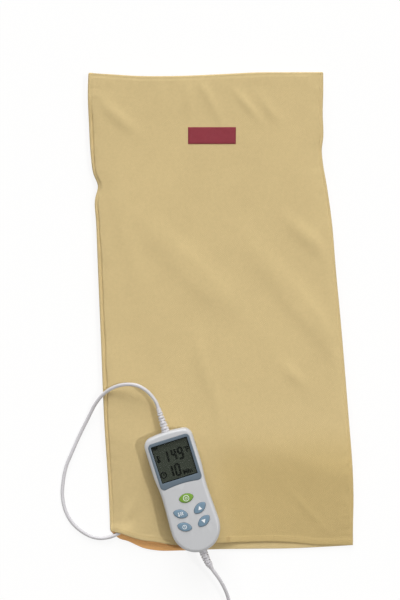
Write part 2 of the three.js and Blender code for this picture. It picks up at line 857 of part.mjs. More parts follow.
function plug() {
  const [axisY, axisZ] = [coilTailRoute[coilTailRoute.length - 1][1], plugHeight / 2];
  const bodyX = plugStartX + plugTailLength;
  const section = (inset, x, shrink = 1) => {
    const outline = roundedRectangle(
      (plugWidth - 2 * inset) * shrink,
      (plugHeight - 2 * inset) * shrink,
      plugEdge,
    );
    return outline.getPoints(2).map((point) => new THREE.Vector3(x, axisY + point.x, axisZ + point.y));
  };
  const body = loft([
    section(plugEdge / 2, bodyX, 0.8),
    section(0, bodyX + plugLength / 4, 0.9),
    section(0, bodyX + plugLength / 2),
    section(0, bodyX + plugLength - plugEdge / 3),
    section(plugEdge / 3, bodyX + plugLength),
  ]);
  const stations = [];
  const ribs = Math.floor(plugTailLength / ribPitch);
  for (let i = 0; i < ribs; i++) {
    const x = plugStartX + i * ribPitch;
    const rib = THREE.MathUtils.lerp(plugTipRadius, plugTailRadius, i / (ribs - 1));
    stations.push([x, rib - ribDepth / 2], [x + ribPitch * 0.4, rib], [x + ribPitch * 0.8, rib]);
  }
  stations.push([bodyX + plugEdge, plugTipRadius]);
  const tail = sweep(
    stations.map(([x, radius]) => [new THREE.Vector3(x, axisY, axisZ), radius]),
    10,
  );
  const frontX = bodyX + plugLength;
  const slots = [];
  [-1, 1].forEach((side, i) => {
    const y = axisY + (side * bladeSpacing) / 2;
    const from = frontX - bladeSeat;
    slots.push(
      box(
        bladeSeat + cutOverrun,
        bladeThickness + 2 * seatGap,
        bladeHeight + 2 * seatGap,
        from - seatGap + (bladeSeat + cutOverrun) / 2,
        y,
        axisZ - bladeHeight / 2 - seatGap,
      ),
    );
    const end = frontX + bladeLength;
    const half = bladeHeight / 2;
    const blade = new THREE.Shape([
      new THREE.Vector2(from, -half),
      new THREE.Vector2(end - bladeTipChamfer, -half),
      new THREE.Vector2(end, bladeTipChamfer - half),
      new THREE.Vector2(end, half - bladeTipChamfer),
      new THREE.Vector2(end - bladeTipChamfer, half),
      new THREE.Vector2(from, half),
    ]);
    const geometry = raise(blade, -bladeThickness / 2, bladeThickness).rotateX(Math.PI / 2);
    place(heatingPad, "plug_blade_" + (i + 1), geometry.translate(0, y, axisZ), "brass");
  });
  place(heatingPad, "plug_body", toGeometry(cutFrom(joined(body, tail), ...slots)), "cord");
}

// Controller

// Right half of the housing's outline from its lower end to its upper end, then the left half.
function caseOutline() {
  const endY = caseLength / 2;
  const lobeY = lobeLength - endY;
  const cornerX = headHalfWidth - headCorner;
  const cornerY = endY - headBow - headCorner;
  const half = new THREE.Path();
  half.absellipse(0, lobeY, lobeHalfWidth, lobeLength, -Math.PI / 2, 0, false);
  half.bezierCurveTo(
    lobeHalfWidth,
    lobeY + waistEase,
    waistHalfWidth,
    waistY - waistEase,
    waistHalfWidth,
    waistY,
  );
  half.bezierCurveTo(
    waistHalfWidth,
    waistY + waistEase,
    headHalfWidth,
    headStraightY - waistEase,
    headHalfWidth,
    headStraightY,
  );
  half.lineTo(headHalfWidth, cornerY);
  half.absarc(cornerX, cornerY, headCorner, 0, Math.PI / 2, false);
  half.quadraticCurveTo(cornerX / 2, endY, 0, endY);
  const right = half.getSpacedPoints(27);
  const left = right.slice(1, -1).reverse();
  return [...right, ...left.map((point) => new THREE.Vector2(-point.x, point.y))];
}

const outerOutline = caseOutline();

// The housing's outline moved inwards by a distance, square to itself, at a height.
function caseRing(inset, height) {
  const count = outerOutline.length;
  return outerOutline.map((point, i) => {
    const before = outerOutline[(i + count - 1) % count];
    const after = outerOutline[(i + 1) % count];
    const along = after.clone().sub(before).normalize();
    return new THREE.Vector3(point.x - along.y * inset, point.y + along.x * inset, height);
  });
}

// Rings round a quarter circle between a side wall and a face: the wall's inset and the height
// where it starts, the radius, and +1 for a face above or -1 for a face below.
function roundedRings(wallInset, startHeight, radius, rise, direction, steps = 3) {
  return Array.from({ length: steps + 1 }, (_, i) => {
    const turn = (Math.PI / 2) * (i / steps);
    const inset = wallInset + radius * (1 - Math.cos(turn));
    return caseRing(inset, startHeight + direction * rise * Math.sin(turn));
  });
}

const bossPlaces = [
  [-headBossX, caseLength / 2 - headBossFromEnd],
  [headBossX, caseLength / 2 - headBossFromEnd],
  [-lobeBossX, lobeBossFromEnd - caseLength / 2],
  [lobeBossX, lobeBossFromEnd - caseLength / 2],
];

const keys = [
  { name: "power_button", x: 0, y: powerKeyY, depth: powerKeyDepth, tilt: 0, finish: "greenKey" },
  { name: "temperature_button", x: -keyRowX, y: upperKeyY, depth: keyDepth, tilt: -keyTilt, finish: "blueKey" },
  { name: "timer_button", x: -keyRowX, y: lowerKeyY, depth: keyDepth, tilt: -keyTilt, finish: "blueKey" },
  { name: "up_button", x: keyRowX, y: upperKeyY, depth: keyDepth, tilt: keyTilt, finish: "blueKey" },
  { name: "down_button", x: keyRowX, y: lowerKeyY, depth: keyDepth, tilt: keyTilt, finish: "blueKey" },
];

// Neck holes for the two strain reliefs, shared by both shells.
function reliefHoles() {
  const through = caseWall + reliefCollarRoom + 2 * cutOverrun;
  return [-1, 1].map((end) => {
    const hole = new THREE.CylinderGeometry(
      reliefNeckRadius + seatGap,
      reliefNeckRadius + seatGap,
      through,
      24,
    );
    return hole.translate(0, end * (caseLength / 2 - through / 2 + cutOverrun), partingHeight);
  });
}

function bezelOutline(grow) {
  const [halfWidth, halfHeight] = [bezelWidth / 2 + grow, bezelHeight / 2 + grow];
  const corner = bezelCorner + grow;
  const [low, high] = [bezelY - halfHeight, bezelY + halfHeight];
  const outline = new THREE.Shape();
  outline.absarc(halfWidth - corner, high - corner, corner, 0, Math.PI / 2, false);
  outline.absarc(corner - halfWidth, high - corner, corner, Math.PI / 2, Math.PI, false);
  outline.absarc(corner - halfWidth, low + corner, corner, Math.PI, 1.5 * Math.PI, false);
  outline.quadraticCurveTo(0, low + 2 * bezelArch, halfWidth - corner, low);
  outline.absarc(halfWidth - corner, low + corner, corner, 1.5 * Math.PI, 2 * Math.PI, false);
  return outline;
}

function frontShell() {
  const wallTop = caseDepth - frontCrown - frontEdgeRadius;
  const floor = partingHeight + seatGap / 2;
  const outer = loft([
    caseRing(0, floor),
    ...roundedRings(0, wallTop, frontEdgeRadius, frontEdgeRadius, 1),
    caseRing(2 * frontEdgeRadius, caseDepth - frontCrown / 4),
    caseRing(3 * frontEdgeRadius, caseDepth),
  ]);
  const hollowTop = frontRoof - frontCrown - frontEdgeRadius + caseWall;
  const hollow = loft([
    caseRing(caseWall, floor - cutOverrun),
    ...roundedRings(
      caseWall,
      hollowTop,
      frontEdgeRadius - caseWall,
      frontEdgeRadius - caseWall,
      1,
      2,
    ),
    caseRing(2 * frontEdgeRadius, frontRoof - frontCrown / 4),
    caseRing(3 * frontEdgeRadius, frontRoof),
  ]);
  const seatHeight = frontRoof + caseWall / 2 - displaySeatUnder;
  const seat = raise(bezelOutline(caseWall / 2), displaySeatUnder, seatHeight);
  const recess = raise(bezelOutline(seatGap), recessFloor, recessDepth + cutOverrun);
  const view = raise(
    roundedRectangle(windowWidth - 2 * windowLedge, windowHeight - 2 * windowLedge, windowCorner, 0, windowY),
    displaySeatUnder - cutOverrun,
    displaySeatThickness + 2 * cutOverrun,
  );
  const keyHoles = keys.map((key) => {
    const hole = new THREE.CylinderGeometry(1, 1, caseWall + 2 * cutOverrun, 24);
    hole.rotateX(Math.PI / 2);
    hole.scale(keyLength / 2 + seatGap, key.depth / 2 + seatGap, 1);
    hole.rotateZ(THREE.MathUtils.degToRad(key.tilt));
    return hole.translate(key.x, key.y, caseDepth - caseWall / 2);
  });
  const bossBase = boardTop + seatGap;
  const bosses = bossPlaces.map(([x, y]) => post(bossRadius, bossBase, frontRoof - bossBase, x, y, 12));
  const pilots = bossPlaces.map(([x, y]) => {
    const depth = screwHeadDepth + screwHeadHeight + screwLength + seatGap - bossBase;
    return post(screwRadius + seatGap, bossBase - cutOverrun, depth + cutOverrun, x, y, 12);
  });
  const within = cutFrom(toSolid(outer), hollow);
  const filled = [seat, ...bosses].reduce((sum, piece) => sum.add(toSolid(piece).intersect(toSolid(outer))), within);
  const shell = cutFrom(filled, recess, view, ...keyHoles, ...pilots, ...reliefHoles());
  place(controller, "front_shell", toGeometry(shell), "housing");
}

function rearShell() {
  const top = partingHeight - seatGap / 2;
  const outer = loft([
    ...roundedRings(0, backEdgeRadius, backEdgeRadius, backEdgeRadius, -1).reverse(),
    caseRing(0, top),
  ]);
  const inner = backEdgeRadius - caseWall;
  const hollow = loft([
    ...roundedRings(caseWall, backEdgeRadius, inner, inner, -1, 2).reverse(),
    caseRing(caseWall, top + cutOverrun),
  ]);
  const counterDepth = screwHeadDepth + screwHeadHeight + seatGap;
  const bosses = bossPlaces.flatMap(([x, y]) => [
    post(bossRadius, caseWall / 2, boardBase - seatGap - caseWall / 2, x, y, 12),
    post(screwHeadRadius + caseWall, caseWall / 2, counterDepth + caseWall / 2, x, y, 16),
  ]);
  const holes = bossPlaces.flatMap(([x, y]) => [
    post(screwRadius + seatGap, -cutOverrun, boardBase + 2 * cutOverrun, x, y, 12),
    post(screwHeadRadius + seatGap, -cutOverrun, counterDepth + cutOverrun, x, y, 20),
  ]);
  const filled = bosses.reduce(
    (sum, boss) => sum.add(toSolid(boss).intersect(toSolid(outer))),
    cutFrom(toSolid(outer), hollow),
  );
  place(controller, "rear_shell", toGeometry(cutFrom(filled, ...holes, ...reliefHoles())), "housing");
}

function display() {
  const base = recessFloor + seatGap;
  const frame = bezelOutline(0);
  const opening = roundedRectangle(windowWidth, windowHeight, windowCorner, 0, windowY);
  frame.holes.push(new THREE.Path(opening.getPoints(3)));
  place(controller, "display_bezel", raise(frame, base, bezelThickness), "bezel");
  const clear = 2 * seatGap;
  const pane = roundedRectangle(windowWidth - clear, windowHeight - clear, windowCorner, 0, windowY);
  place(controller, "display_window", raise(pane, base, windowThickness, 3), "window");
  const [width, height] = [windowWidth + 2 * panelOverlap, windowHeight + 2 * panelOverlap];
  const panelUnder = panelTop - panelThickness;
  place(controller, "lcd_panel", box(width, height, panelThickness, 0, windowY, panelUnder), "display");
  const holder = roundedRectangle(width, height, windowCorner, 0, windowY);
  const hollow = roundedRectangle(width - 2 * holderWall, height - 2 * holderWall, windowCorner, 0, windowY);
  holder.holes.push(new THREE.Path(hollow.getPoints(3)));
  const holderBase = boardTop + seatGap;
  place(controller, "lcd_holder", raise(holder, holderBase, panelUnder - seatGap - holderBase, 3), "ceramic");
}

// A key: an oval cap with a retaining flange under the face and a post over its switch.
function keyCap(key) {
  const flangeTop = frontRoof - seatGap;
  const flangeUnder = flangeTop - keyFlangeThickness;
  const capTop = caseDepth + keyProud;
  const postUnder = switchTop + keyTravel + seatGap;
  const flangeShare = 1.14;
  const shoulderShare = 0.93;
  const domeShare = 0.62;
  const profile = [
    [0, flangeUnder],
    [flangeShare, flangeUnder],
    [flangeShare, flangeTop],
    [1, flangeTop],
    [1, capTop - keyProud * 0.55],
    [shoulderShare, capTop - keyProud * 0.15],
    [domeShare, capTop],
    [0, capTop],
  ];
  const cap = new THREE.LatheGeometry(
    profile.map(([radius, height]) => new THREE.Vector2(radius, height)),
    24,
  );
  cap.rotateX(Math.PI / 2);
  cap.scale(keyLength / 2, key.depth / 2, 1);
  cap.rotateZ(THREE.MathUtils.degToRad(key.tilt));
  cap.translate(key.x, key.y, 0);
  const stem = post(keyPostRadius, postUnder, flangeUnder + keyFlangeThickness / 2 - postUnder, key.x, key.y, 12);
  place(controller, key.name, toGeometry(joined(cap, stem)), key.finish);
}

function tactSwitch(key) {
  const base = boardTop + seatGap;
  const body = box(switchSize, switchSize, switchBodyHeight, key.x, key.y, base);
  const middle = base + switchBodyHeight / 2;
  const plunger = post(plungerRadius, middle, switchTop - middle, key.x, key.y, 12);
  place(controller, key.name.replace("button", "switch"), toGeometry(joined(body, plunger)), "darkPart");
}

function circuitBoard() {
  const outline = caseRing(boardInset, 0).map((point) => new THREE.Vector2(point.x, point.y));
  const board = raise(new THREE.Shape(outline), boardBase, boardThickness);
  const holes = bossPlaces.map(([x, y]) =>
    post(screwRadius + 2 * seatGap, boardBase - cutOverrun, boardThickness + 2 * cutOverrun, x, y, 12),
  );
  place(controller, "circuit_board", toGeometry(cutFrom(toSolid(board), ...holes)), "board");
}

function caseScrews() {
  bossPlaces.forEach(([x, y], i) => {
    const head = post(screwHeadRadius, screwHeadDepth, screwHeadHeight, x, y, 20);
    const shank = post(screwRadius, screwHeadDepth + screwHeadHeight / 2, screwHeadHeight / 2 + screwLength, x, y, 12);
    place(controller, "case_screw_" + (i + 1), toGeometry(joined(head, shank)), "steel");
  });
}

// Parts that hang from the lower side of the circuit board.
function boardParts() {
  const under = boardBase - seatGap;
  const hung = (height) => under - height;
  const triac = box(triacWidth, triacLength, triacHeight, 0, 0, hung(triacHeight));
  const tab = box(triacWidth, triacLength / 3, triacHeight / 3, 0, triacLength * 0.6, hung(triacHeight / 3));
  place(controller, "triac", toGeometry(joined(triac, tab)), "darkPart").position.set(-triacWidth, triacLength, 0);

  const body = roundedRectangle(capacitorWidth, capacitorLength, capacitorWidth / 6);
  const film = place(controller, "film_capacitor", raise(body, hung(capacitorHeight), capacitorHeight, 3), "capacitor");
  film.position.set(capacitorWidth * 1.5, capacitorLength, 0);

  const half = fuseLength / 2;
  const fuseProfile = [
    [0, -half],
    [fuseCapRadius, -half],
    [fuseCapRadius, fuseCapLength - half],
    [fuseRadius, fuseCapLength - half],
    [fuseRadius, half - fuseCapLength],
    [fuseCapRadius, half - fuseCapLength],
    [fuseCapRadius, half],
    [0, half],
  ];
  const fuse = new THREE.LatheGeometry(
    fuseProfile.map(([radius, along]) => new THREE.Vector2(radius, along)),
    16,
  );
  place(controller, "fuse", fuse, "ceramic").position.set(chipSize, -fuseLength, under - fuseCapRadius);

  const buzzerProfile = [
    [0, chipHeight],
    [buzzerPortRadius, chipHeight],
    [buzzerPortRadius, 0],
    [buzzerRadius, 0],
    [buzzerRadius, buzzerHeight],
    [0, buzzerHeight],
  ];
  const buzzer = new THREE.LatheGeometry(
    buzzerProfile.map(([radius, height]) => new THREE.Vector2(radius, height)),
    20,
  ).rotateX(Math.PI / 2);
  place(controller, "buzzer", buzzer, "darkPart").position.set(-chipSize, -fuseLength, hung(buzzerHeight));

  const chip = box(chipSize, chipSize, chipHeight, 0, lowerKeyY, hung(chipHeight));
  place(controller, "microcontroller", chip, "darkPart");
}

// A ribbed sleeve: a collar inside the housing, a neck through its wall, then tapering ribs.
function reliefStations(path, length) {
  const inside = reliefCollarLength + reliefCollarRoom + caseWall + seatGap;
  const total = inside + length;
  const at = (distance, radius) => [path.getPointAt(THREE.MathUtils.clamp(distance / total, 0, 1)), radius];
  const step = ribPitch * 0.1;
  const stations = [
    at(0, reliefCollarRadius),
    at(reliefCollarLength, reliefCollarRadius),
    at(reliefCollarLength + seatGap, reliefNeckRadius),
    at(inside, reliefNeckRadius),
  ];
  const ribs = Math.floor((length - ribPitch) / ribPitch);
  for (let i = 0; i < ribs; i++) {
    const start = inside + i * ribPitch;
    const radius = THREE.MathUtils.lerp(ribBaseRadius, ribTipRadius, i / (ribs - 1));
    stations.push(at(start + step, radius), at(start + ribPitch * 0.55, radius));
    stations.push(at(start + ribPitch * 0.65, radius - ribDepth), at(start + ribPitch, radius - ribDepth));
  }
  stations.push(at(total - cordDiameter / 2, reliefTipRadius), at(total, reliefTipRadius));
  return stations;
}

function strainReliefs() {
  const inside = caseLength / 2 - reliefCollarLength - reliefCollarRoom - caseWall;
  const end = caseLength / 2 + seatGap;
  const upper = new THREE.LineCurve3(
    new THREE.Vector3(0, inside, partingHeight),
    new THREE.Vector3(0, end + reliefLength, partingHeight),
  );
  const upperSleeve = sweep(reliefStations(upper, reliefLength), 10);
  place(controller, "upper_strain_relief", upperSleeve, "cord");
  const lower = new THREE.CatmullRomCurve3([
    new THREE.Vector3(0, -inside, partingHeight),
    new THREE.Vector3(0, -(inside + end) / 2, partingHeight),
    new THREE.Vector3(0, -end - ribPitch, partingHeight),
    new THREE.Vector3(lowerReliefBend * 0.35, -end - lowerReliefLength * 0.6, partingHeight - lowerReliefDroop * 0.35),
    new THREE.Vector3(lowerReliefBend, -end - lowerReliefLength, partingHeight - lowerReliefDroop),
  ]);
  const lowerSleeve = sweep(reliefStations(lower, lowerReliefLength), 10);
  place(controller, "lower_strain_relief", lowerSleeve, "cord");
}

coverFront();
coverBack();
coverLabel();
padSheets();
padBatting();
heatingWire();
thermalCutouts();
leadGland();
freeCords();
mainsCoil();
plug();
frontShell();
rearShell();
display();
keys.forEach(keyCap);
keys.forEach(tactSwitch);
circuitBoard();
caseScrews();
boardParts();
strainReliefs();

export default heatingPad;
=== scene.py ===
import math

import bpy
import numpy as np
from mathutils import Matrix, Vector


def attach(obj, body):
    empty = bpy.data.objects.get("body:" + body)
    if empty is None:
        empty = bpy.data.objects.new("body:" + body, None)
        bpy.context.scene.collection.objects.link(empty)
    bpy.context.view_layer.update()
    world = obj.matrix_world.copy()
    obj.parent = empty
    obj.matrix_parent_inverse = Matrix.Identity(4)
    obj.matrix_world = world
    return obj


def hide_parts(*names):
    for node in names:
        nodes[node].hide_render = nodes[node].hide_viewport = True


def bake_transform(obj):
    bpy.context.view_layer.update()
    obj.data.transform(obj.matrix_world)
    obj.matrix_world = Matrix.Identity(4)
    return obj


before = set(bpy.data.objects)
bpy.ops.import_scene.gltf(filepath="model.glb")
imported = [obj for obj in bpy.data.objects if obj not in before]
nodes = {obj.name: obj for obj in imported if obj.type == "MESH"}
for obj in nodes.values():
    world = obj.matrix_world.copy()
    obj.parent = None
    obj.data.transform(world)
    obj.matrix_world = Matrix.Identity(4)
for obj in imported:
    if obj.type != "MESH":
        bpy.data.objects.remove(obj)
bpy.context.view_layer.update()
millimetre = 0.001


# Helpers for objects and nodes


def addObject(name, data):
    made = bpy.data.objects.new(name, data)
    bpy.context.scene.collection.objects.link(made)
    return made


def feed(tree, node, values):
    # a value is a number or another node's output; an input is named, with _ for a space, or counted from 0
    for place, value in values.items():
        socket = node.inputs[place.replace("_", " ") if isinstance(place, str) else place]
        if isinstance(value, bpy.types.NodeSocket):
            tree.links.new(value, socket)
        else:
            socket.default_value = value
    return node


def addNode(tree, kind, **values):
    return feed(tree, tree.nodes.new("ShaderNode" + kind), values)


def sums(tree, operation, *values):
    node = tree.nodes.new("ShaderNodeMath")
    node.operation = operation
    return feed(tree, node, dict(enumerate(values))).outputs[0]


def scaled(tree, colour, amount):
    node = tree.nodes.new("ShaderNodeVectorMath")
    node.operation = "SCALE"
    return feed(tree, node, {0: colour, "Scale": amount}).outputs[0]


def mixed(tree, share, first, second):
    node = tree.nodes.new("ShaderNodeMix")
    node.data_type = "RGBA"
    return feed(tree, node, {"Factor": share, "A": first, "B": second}).outputs["Result"]


def ramp(tree, value, start, end, kind="LINEAR"):
    # 0 at start to 1 at end
    node = addNode(tree, "MapRange", Value=value, From_Min=start, From_Max=end)
    node.interpolation_type = kind
    return node.outputs["Result"]


def clouds(tree, where, scale, detail, rough=0.5):
    return addNode(tree, "TexNoise", Vector=where, Scale=scale, Detail=detail, Roughness=rough).outputs["Fac"]


def newFinish(name, **plain):
    finish = bpy.data.materials.new(name)
    finish.use_nodes = True
    tree = finish.node_tree
    return finish, tree, feed(tree, tree.nodes["Principled BSDF"], plain)


# Camera, light and floor

photoView = {
    "under": (-28.2, 15.0),  # point of the surface straight under the lens, mm
    "height": 2300.0,  # lens above the surface, mm
    "seen": 858.0,  # surface seen from the top to the bottom of the frame, mm
    "roll": -3.16,  # degrees
    "sensor": 24.0,
}
studio = {
    "key": {"level": 0.26, "azimuth": -2, "elevation": 60, "softness": 3},
    "fill": {"level": 0.42, "azimuth": 90, "elevation": 26, "softness": 45},
    "world": 0.35,
    "worldTint": (1.0, 0.955, 0.87, 1),  # of the light that falls on things; the camera sees plain white
    "floorSize": 6.0,
    "floorDrop": 0.0002,
    "floorColour": (0.95, 0.95, 0.95, 1),
    "floorWhite": 0.86,  # share of plain white that the camera sees on the floor
}


def placeCamera(view):
    data = bpy.data.cameras.new("photoCamera")
    data.sensor_fit = "VERTICAL"
    data.sensor_height = view["sensor"]
    data.lens = view["sensor"] * view["height"] / view["seen"]
    camera = addObject("photoCamera", data)
    camera.location = Vector((*view["under"], view["height"])) * millimetre
    camera.rotation_euler = (0, 0, math.radians(view["roll"]))
    bpy.context.scene.camera = camera


def placeLamp(name, lamp):
    data = bpy.data.lights.new(name, "SUN")
    turn, rise = math.radians(lamp["azimuth"]), math.radians(lamp["elevation"])
    data.energy = lamp["level"] * math.pi / math.sin(rise)
    data.angle = math.radians(lamp["softness"])
    towards = Vector((math.cos(rise) * math.cos(turn), math.cos(rise) * math.sin(turn), math.sin(rise)))
    addObject(name, data).rotation_euler = towards.to_track_quat("Z", "Y").to_euler()


def seenDirectly(tree):
    # 1 for rays from the camera, from a gloss or through glass, 0 for light that falls on things
    path = tree.nodes.new("ShaderNodeLightPath").outputs
    most = sums(tree, "MAXIMUM", path["Is Camera Ray"], path["Is Glossy Ray"])
    return sums(tree, "MAXIMUM", most, path["Is Transmission Ray"])


def lightStudio(setup):
    world = bpy.data.worlds.new("paleStudio")
    bpy.context.scene.world = world
    world.use_nodes = True
    tree = world.node_tree
    seen = seenDirectly(tree)
    level = addNode(tree, "MapRange", Value=seen, To_Min=setup["world"], To_Max=1.0).outputs["Result"]
    tint = mixed(tree, seen, setup["worldTint"], (1, 1, 1, 1))
    feed(tree, tree.nodes["Background"], {"Strength": level, "Color": tint})
    placeLamp("keyLamp", setup["key"])
    placeLamp("fillLamp", setup["fill"])
    bpy.context.scene.view_settings.view_transform = "Standard"


def layFloor(setup):
    half, drop = setup["floorSize"] / 2, -setup["floorDrop"]
    mesh = bpy.data.meshes.new("paleFloor")
    corners = [(-half, -half, drop), (half, -half, drop), (half, half, drop), (-half, half, drop)]
    mesh.from_pydata(corners, [], [(0, 1, 2, 3)])
    plain = {"Base_Color": setup["floorColour"], "Roughness": 1.0, "Specular_IOR_Level": 0.0}
    finish, tree, paint = newFinish("paleFloor", **plain)
    share = sums(tree, "MULTIPLY", seenDirectly(tree), setup["floorWhite"])
    mix = addNode(tree, "MixShader", Fac=share)
    feed(tree, mix, {1: paint.outputs[0], 2: addNode(tree, "Emission").outputs[0]})
    feed(tree, tree.nodes["Material Output"], {"Surface": mix.outputs[0]})
    mesh.materials.append(finish)
    addObject("paleFloor", mesh)


placeCamera(photoView)
lightStudio(studio)
layFloor(studio)
print("camera and light set")


# Node groups that several finishes share


def newGroup(name, inputs, outputs):
    # an input that starts as None is a vector; three or more values are a colour
    tree = bpy.data.node_groups.new(name, "ShaderNodeTree")
    for label, value in inputs.items():
        kind = "Vector" if value is None else "Float" if isinstance(value, float) else "Color"
        socket = tree.interface.new_socket(name=label, in_out="INPUT", socket_type="NodeSocket" + kind)
        if value is not None:
            socket.default_value = value
    for label, kind in outputs.items():
        tree.interface.new_socket(name=label, in_out="OUTPUT", socket_type="NodeSocket" + kind)
    return tree, tree.nodes.new("NodeGroupInput").outputs, tree.nodes.new("NodeGroupOutput")


def mottleGroup():
    # cloudy lighter and darker patches: colour times 1 plus or minus depth
    inputs = {"Color": (1, 1, 1, 1), "Vector": None, "Scale": 40.0, "Depth": 0.05}
    tree, given, put = newGroup("mottle", inputs, {"Color": "Color", "Mask": "Float"})
    cloud = clouds(tree, given["Vector"], given["Scale"], 5.0, 0.6)
    centred = sums(tree, "MULTIPLY", sums(tree, "SUBTRACT", cloud, 0.5), 4.0)
    shade = sums(tree, "ADD", sums(tree, "MULTIPLY", centred, given["Depth"]), 1.0)
    feed(tree, put, {"Color": scaled(tree, given["Color"], shade), "Mask": cloud})
    return tree


def weaveGroup():
    # brushed twill: crossed threads under slanting ribs, softened by loose fibre
    inputs = {"Color": (1, 1, 1, 1), "Vector": None}
    inputs.update({"Threads": 1400.0, "Ribs": 420.0, "Fibre": 900.0, "Depth": 0.06})
    tree, given, put = newGroup("brushedWeave", inputs, {"Color": "Color", "Height": "Float"})
    place = addNode(tree, "SeparateXYZ", Vector=given["Vector"]).outputs

    def wave(along, count):
        return sums(tree, "SINE", sums(tree, "MULTIPLY", along, sums(tree, "MULTIPLY", count, 2 * math.pi)))

    crossed = sums(tree, "MULTIPLY", wave(place["X"], given["Threads"]), wave(place["Y"], given["Threads"]))
    rib = wave(sums(tree, "ADD", place["X"], sums(tree, "MULTIPLY", place["Y"], 0.7)), given["Ribs"])
    fibre = clouds(tree, given["Vector"], given["Fibre"], 4.0, 0.7)
    loose = sums(tree, "MULTIPLY", sums(tree, "SUBTRACT", fibre, 0.5), 4.0)
    height = sums(tree, "ADD", sums(tree, "MULTIPLY", crossed, 0.2), sums(tree, "MULTIPLY", rib, 0.25))
    height = sums(tree, "ADD", height, loose)
    shade = sums(tree, "ADD", sums(tree, "MULTIPLY", height, given["Depth"]), 1.0)
    feed(tree, put, {"Color": scaled(tree, given["Color"], shade), "Height": height})
    return tree


def grainGroup():
    # fine moulded texture and faint handling marks
    inputs = {"Vector": None, "Scale": 1500.0, "Roughness": 0.4, "Smear": 0.1}
    tree, given, put = newGroup("mouldGrain", inputs, {"Height": "Float", "Roughness": "Float"})
    marks = sums(tree, "SUBTRACT", clouds(tree, given["Vector"], 60.0, 4.0), 0.5)
    shift = sums(tree, "MULTIPLY", sums(tree, "MULTIPLY", marks, given["Smear"]), 2.0)
    grain = clouds(tree, given["Vector"], given["Scale"], 3.0)
    feed(tree, put, {"Height": grain, "Roughness": sums(tree, "ADD", given["Roughness"], shift)})
    return tree


def edgeWearHollowShadeGroup():
    # edges painted lighter, partly rubbed wear and partly a painted highlight, and hollows painted darker as
    # painted shade, from how sharply the surface turns
    inputs = {"Color": (1, 1, 1, 1), "Edge": 0.1, "Hollow": 0.2}
    tree, given, put = newGroup("edgeWearAndHollowShade", inputs, {"Color": "Color"})
    turned = tree.nodes.new("ShaderNodeNewGeometry").outputs["Pointiness"]
    brighter = sums(tree, "MULTIPLY", ramp(tree, turned, 0.52, 0.62), given["Edge"])
    darker = sums(tree, "MULTIPLY", ramp(tree, turned, 0.48, 0.4), given["Hollow"])
    shade = sums(tree, "ADD", sums(tree, "SUBTRACT", brighter, darker), 1.0)
    feed(tree, put, {"Color": scaled(tree, given["Color"], shade)})
    return tree


groups = {"mottle": mottleGroup(), "weave": weaveGroup(), "grain": grainGroup(), "wearAndShade": edgeWearHollowShadeGroup()}


# Finishes


def linear(red, green, blue):
    # a colour as it looks on screen, 0 to 255, to the shader's own values
    parts = [value / 255 for value in (red, green, blue)]
    return (*(part / 12.92 if part <= 0.04045 else ((part + 0.055) / 1.055) ** 2.4 for part in parts), 1)


def useGroup(tree, name, **values):
    node = tree.nodes.new("ShaderNodeGroup")
    node.node_tree = groups[name]
    return feed(tree, node, values).outputs


def placeOn(tree, output):
    return tree.nodes.new("ShaderNodeTexCoord").outputs[output]


def coat(tree, shader, colour, height, distance):
    # the colour, and a bump of so many metres from the height
    bump = addNode(tree, "Bump", Height=height, Distance=distance, Strength=1.0)
    feed(tree, shader, {"Base_Color": colour, "Normal": bump.outputs["Normal"]})


def flannelFinish(name, colour, depth=0.035, paintedTone=None, reach=()):
    # paintedTone is a second colour of painted light and shade, reached by way of (axis, from, to) in metres
    plain = {"Roughness": 0.96, "Specular_IOR_Level": 0.15, "Sheen_Weight": 0.25, "Sheen_Roughness": 0.5}
    finish, tree, shader = newFinish(name, Sheen_Tint=linear(240, 225, 190), **plain)
    where = placeOn(tree, "Object")
    tone = linear(*colour)
    if paintedTone:
        place = addNode(tree, "SeparateXYZ", Vector=where).outputs
        shares = [ramp(tree, place[axis], start, end, "SMOOTHSTEP") for axis, start, end in reach]
        tone = mixed(tree, sums(tree, "MULTIPLY", *shares), tone, linear(*paintedTone))
    patches = useGroup(tree, "mottle", Color=tone, Vector=where, Scale=14.0, Depth=0.03)
    specks = useGroup(tree, "mottle", Color=patches["Color"], Vector=where, Scale=230.0, Depth=0.036)
    weave = useGroup(tree, "weave", Color=specks["Color"], Vector=placeOn(tree, "UV"), Depth=depth)
    coat(tree, shader, weave["Color"], weave["Height"], 0.00012)
    return finish


def threadFinish(name, colour):
    finish, tree, shader = newFinish(name, Roughness=0.7, Sheen_Weight=0.15, Specular_IOR_Level=0.3)
    where = placeOn(tree, "Object")
    strands = useGroup(tree, "mottle", Color=linear(*colour), Vector=where, Scale=1800.0, Depth=0.12)
    coat(tree, shader, strands["Color"], strands["Mask"], 0.0001)
    return finish


def wovenFinish(name, colour, threads, ribs):
    finish, tree, shader = newFinish(name, Roughness=0.62, Sheen_Weight=0.2, Specular_IOR_Level=0.35)
    threaded = {"Threads": threads, "Ribs": ribs, "Fibre": 2500.0, "Depth": 0.07}
    weave = useGroup(tree, "weave", Color=linear(*colour), Vector=placeOn(tree, "UV"), **threaded)
    where = placeOn(tree, "Object")
    faded = useGroup(tree, "mottle", Color=weave["Color"], Vector=where, Scale=70.0, Depth=0.04)
    coat(tree, shader, faded["Color"], weave["Height"], 0.00008)
    return finish


# edge and hollow: how much sharp edges are painted lighter and hollows painted darker as shade
hardSurface = {
    "toneScale": 35.0,
    "toneDepth": 0.012,
    "edge": 0.06,
    "hollow": 0.25,
    "grain": 1500.0,
    "smear": 0.12,
    "bump": 0.00003,
}
keySurface = {**hardSurface, "edge": 0.15, "grain": 2600.0}
printSurface = {**hardSurface, "edge": 0.0, "hollow": 0.0}
# edge and hollow as above: edges painted lighter, hollows painted darker as shade
metalSurface = {
    "toneScale": 300.0,
    "toneDepth": 0.06,
    "edge": 0.2,
    "hollow": 0.4,
    "grain": 4000.0,
    "smear": 0.2,
    "bump": 0.00002,
}


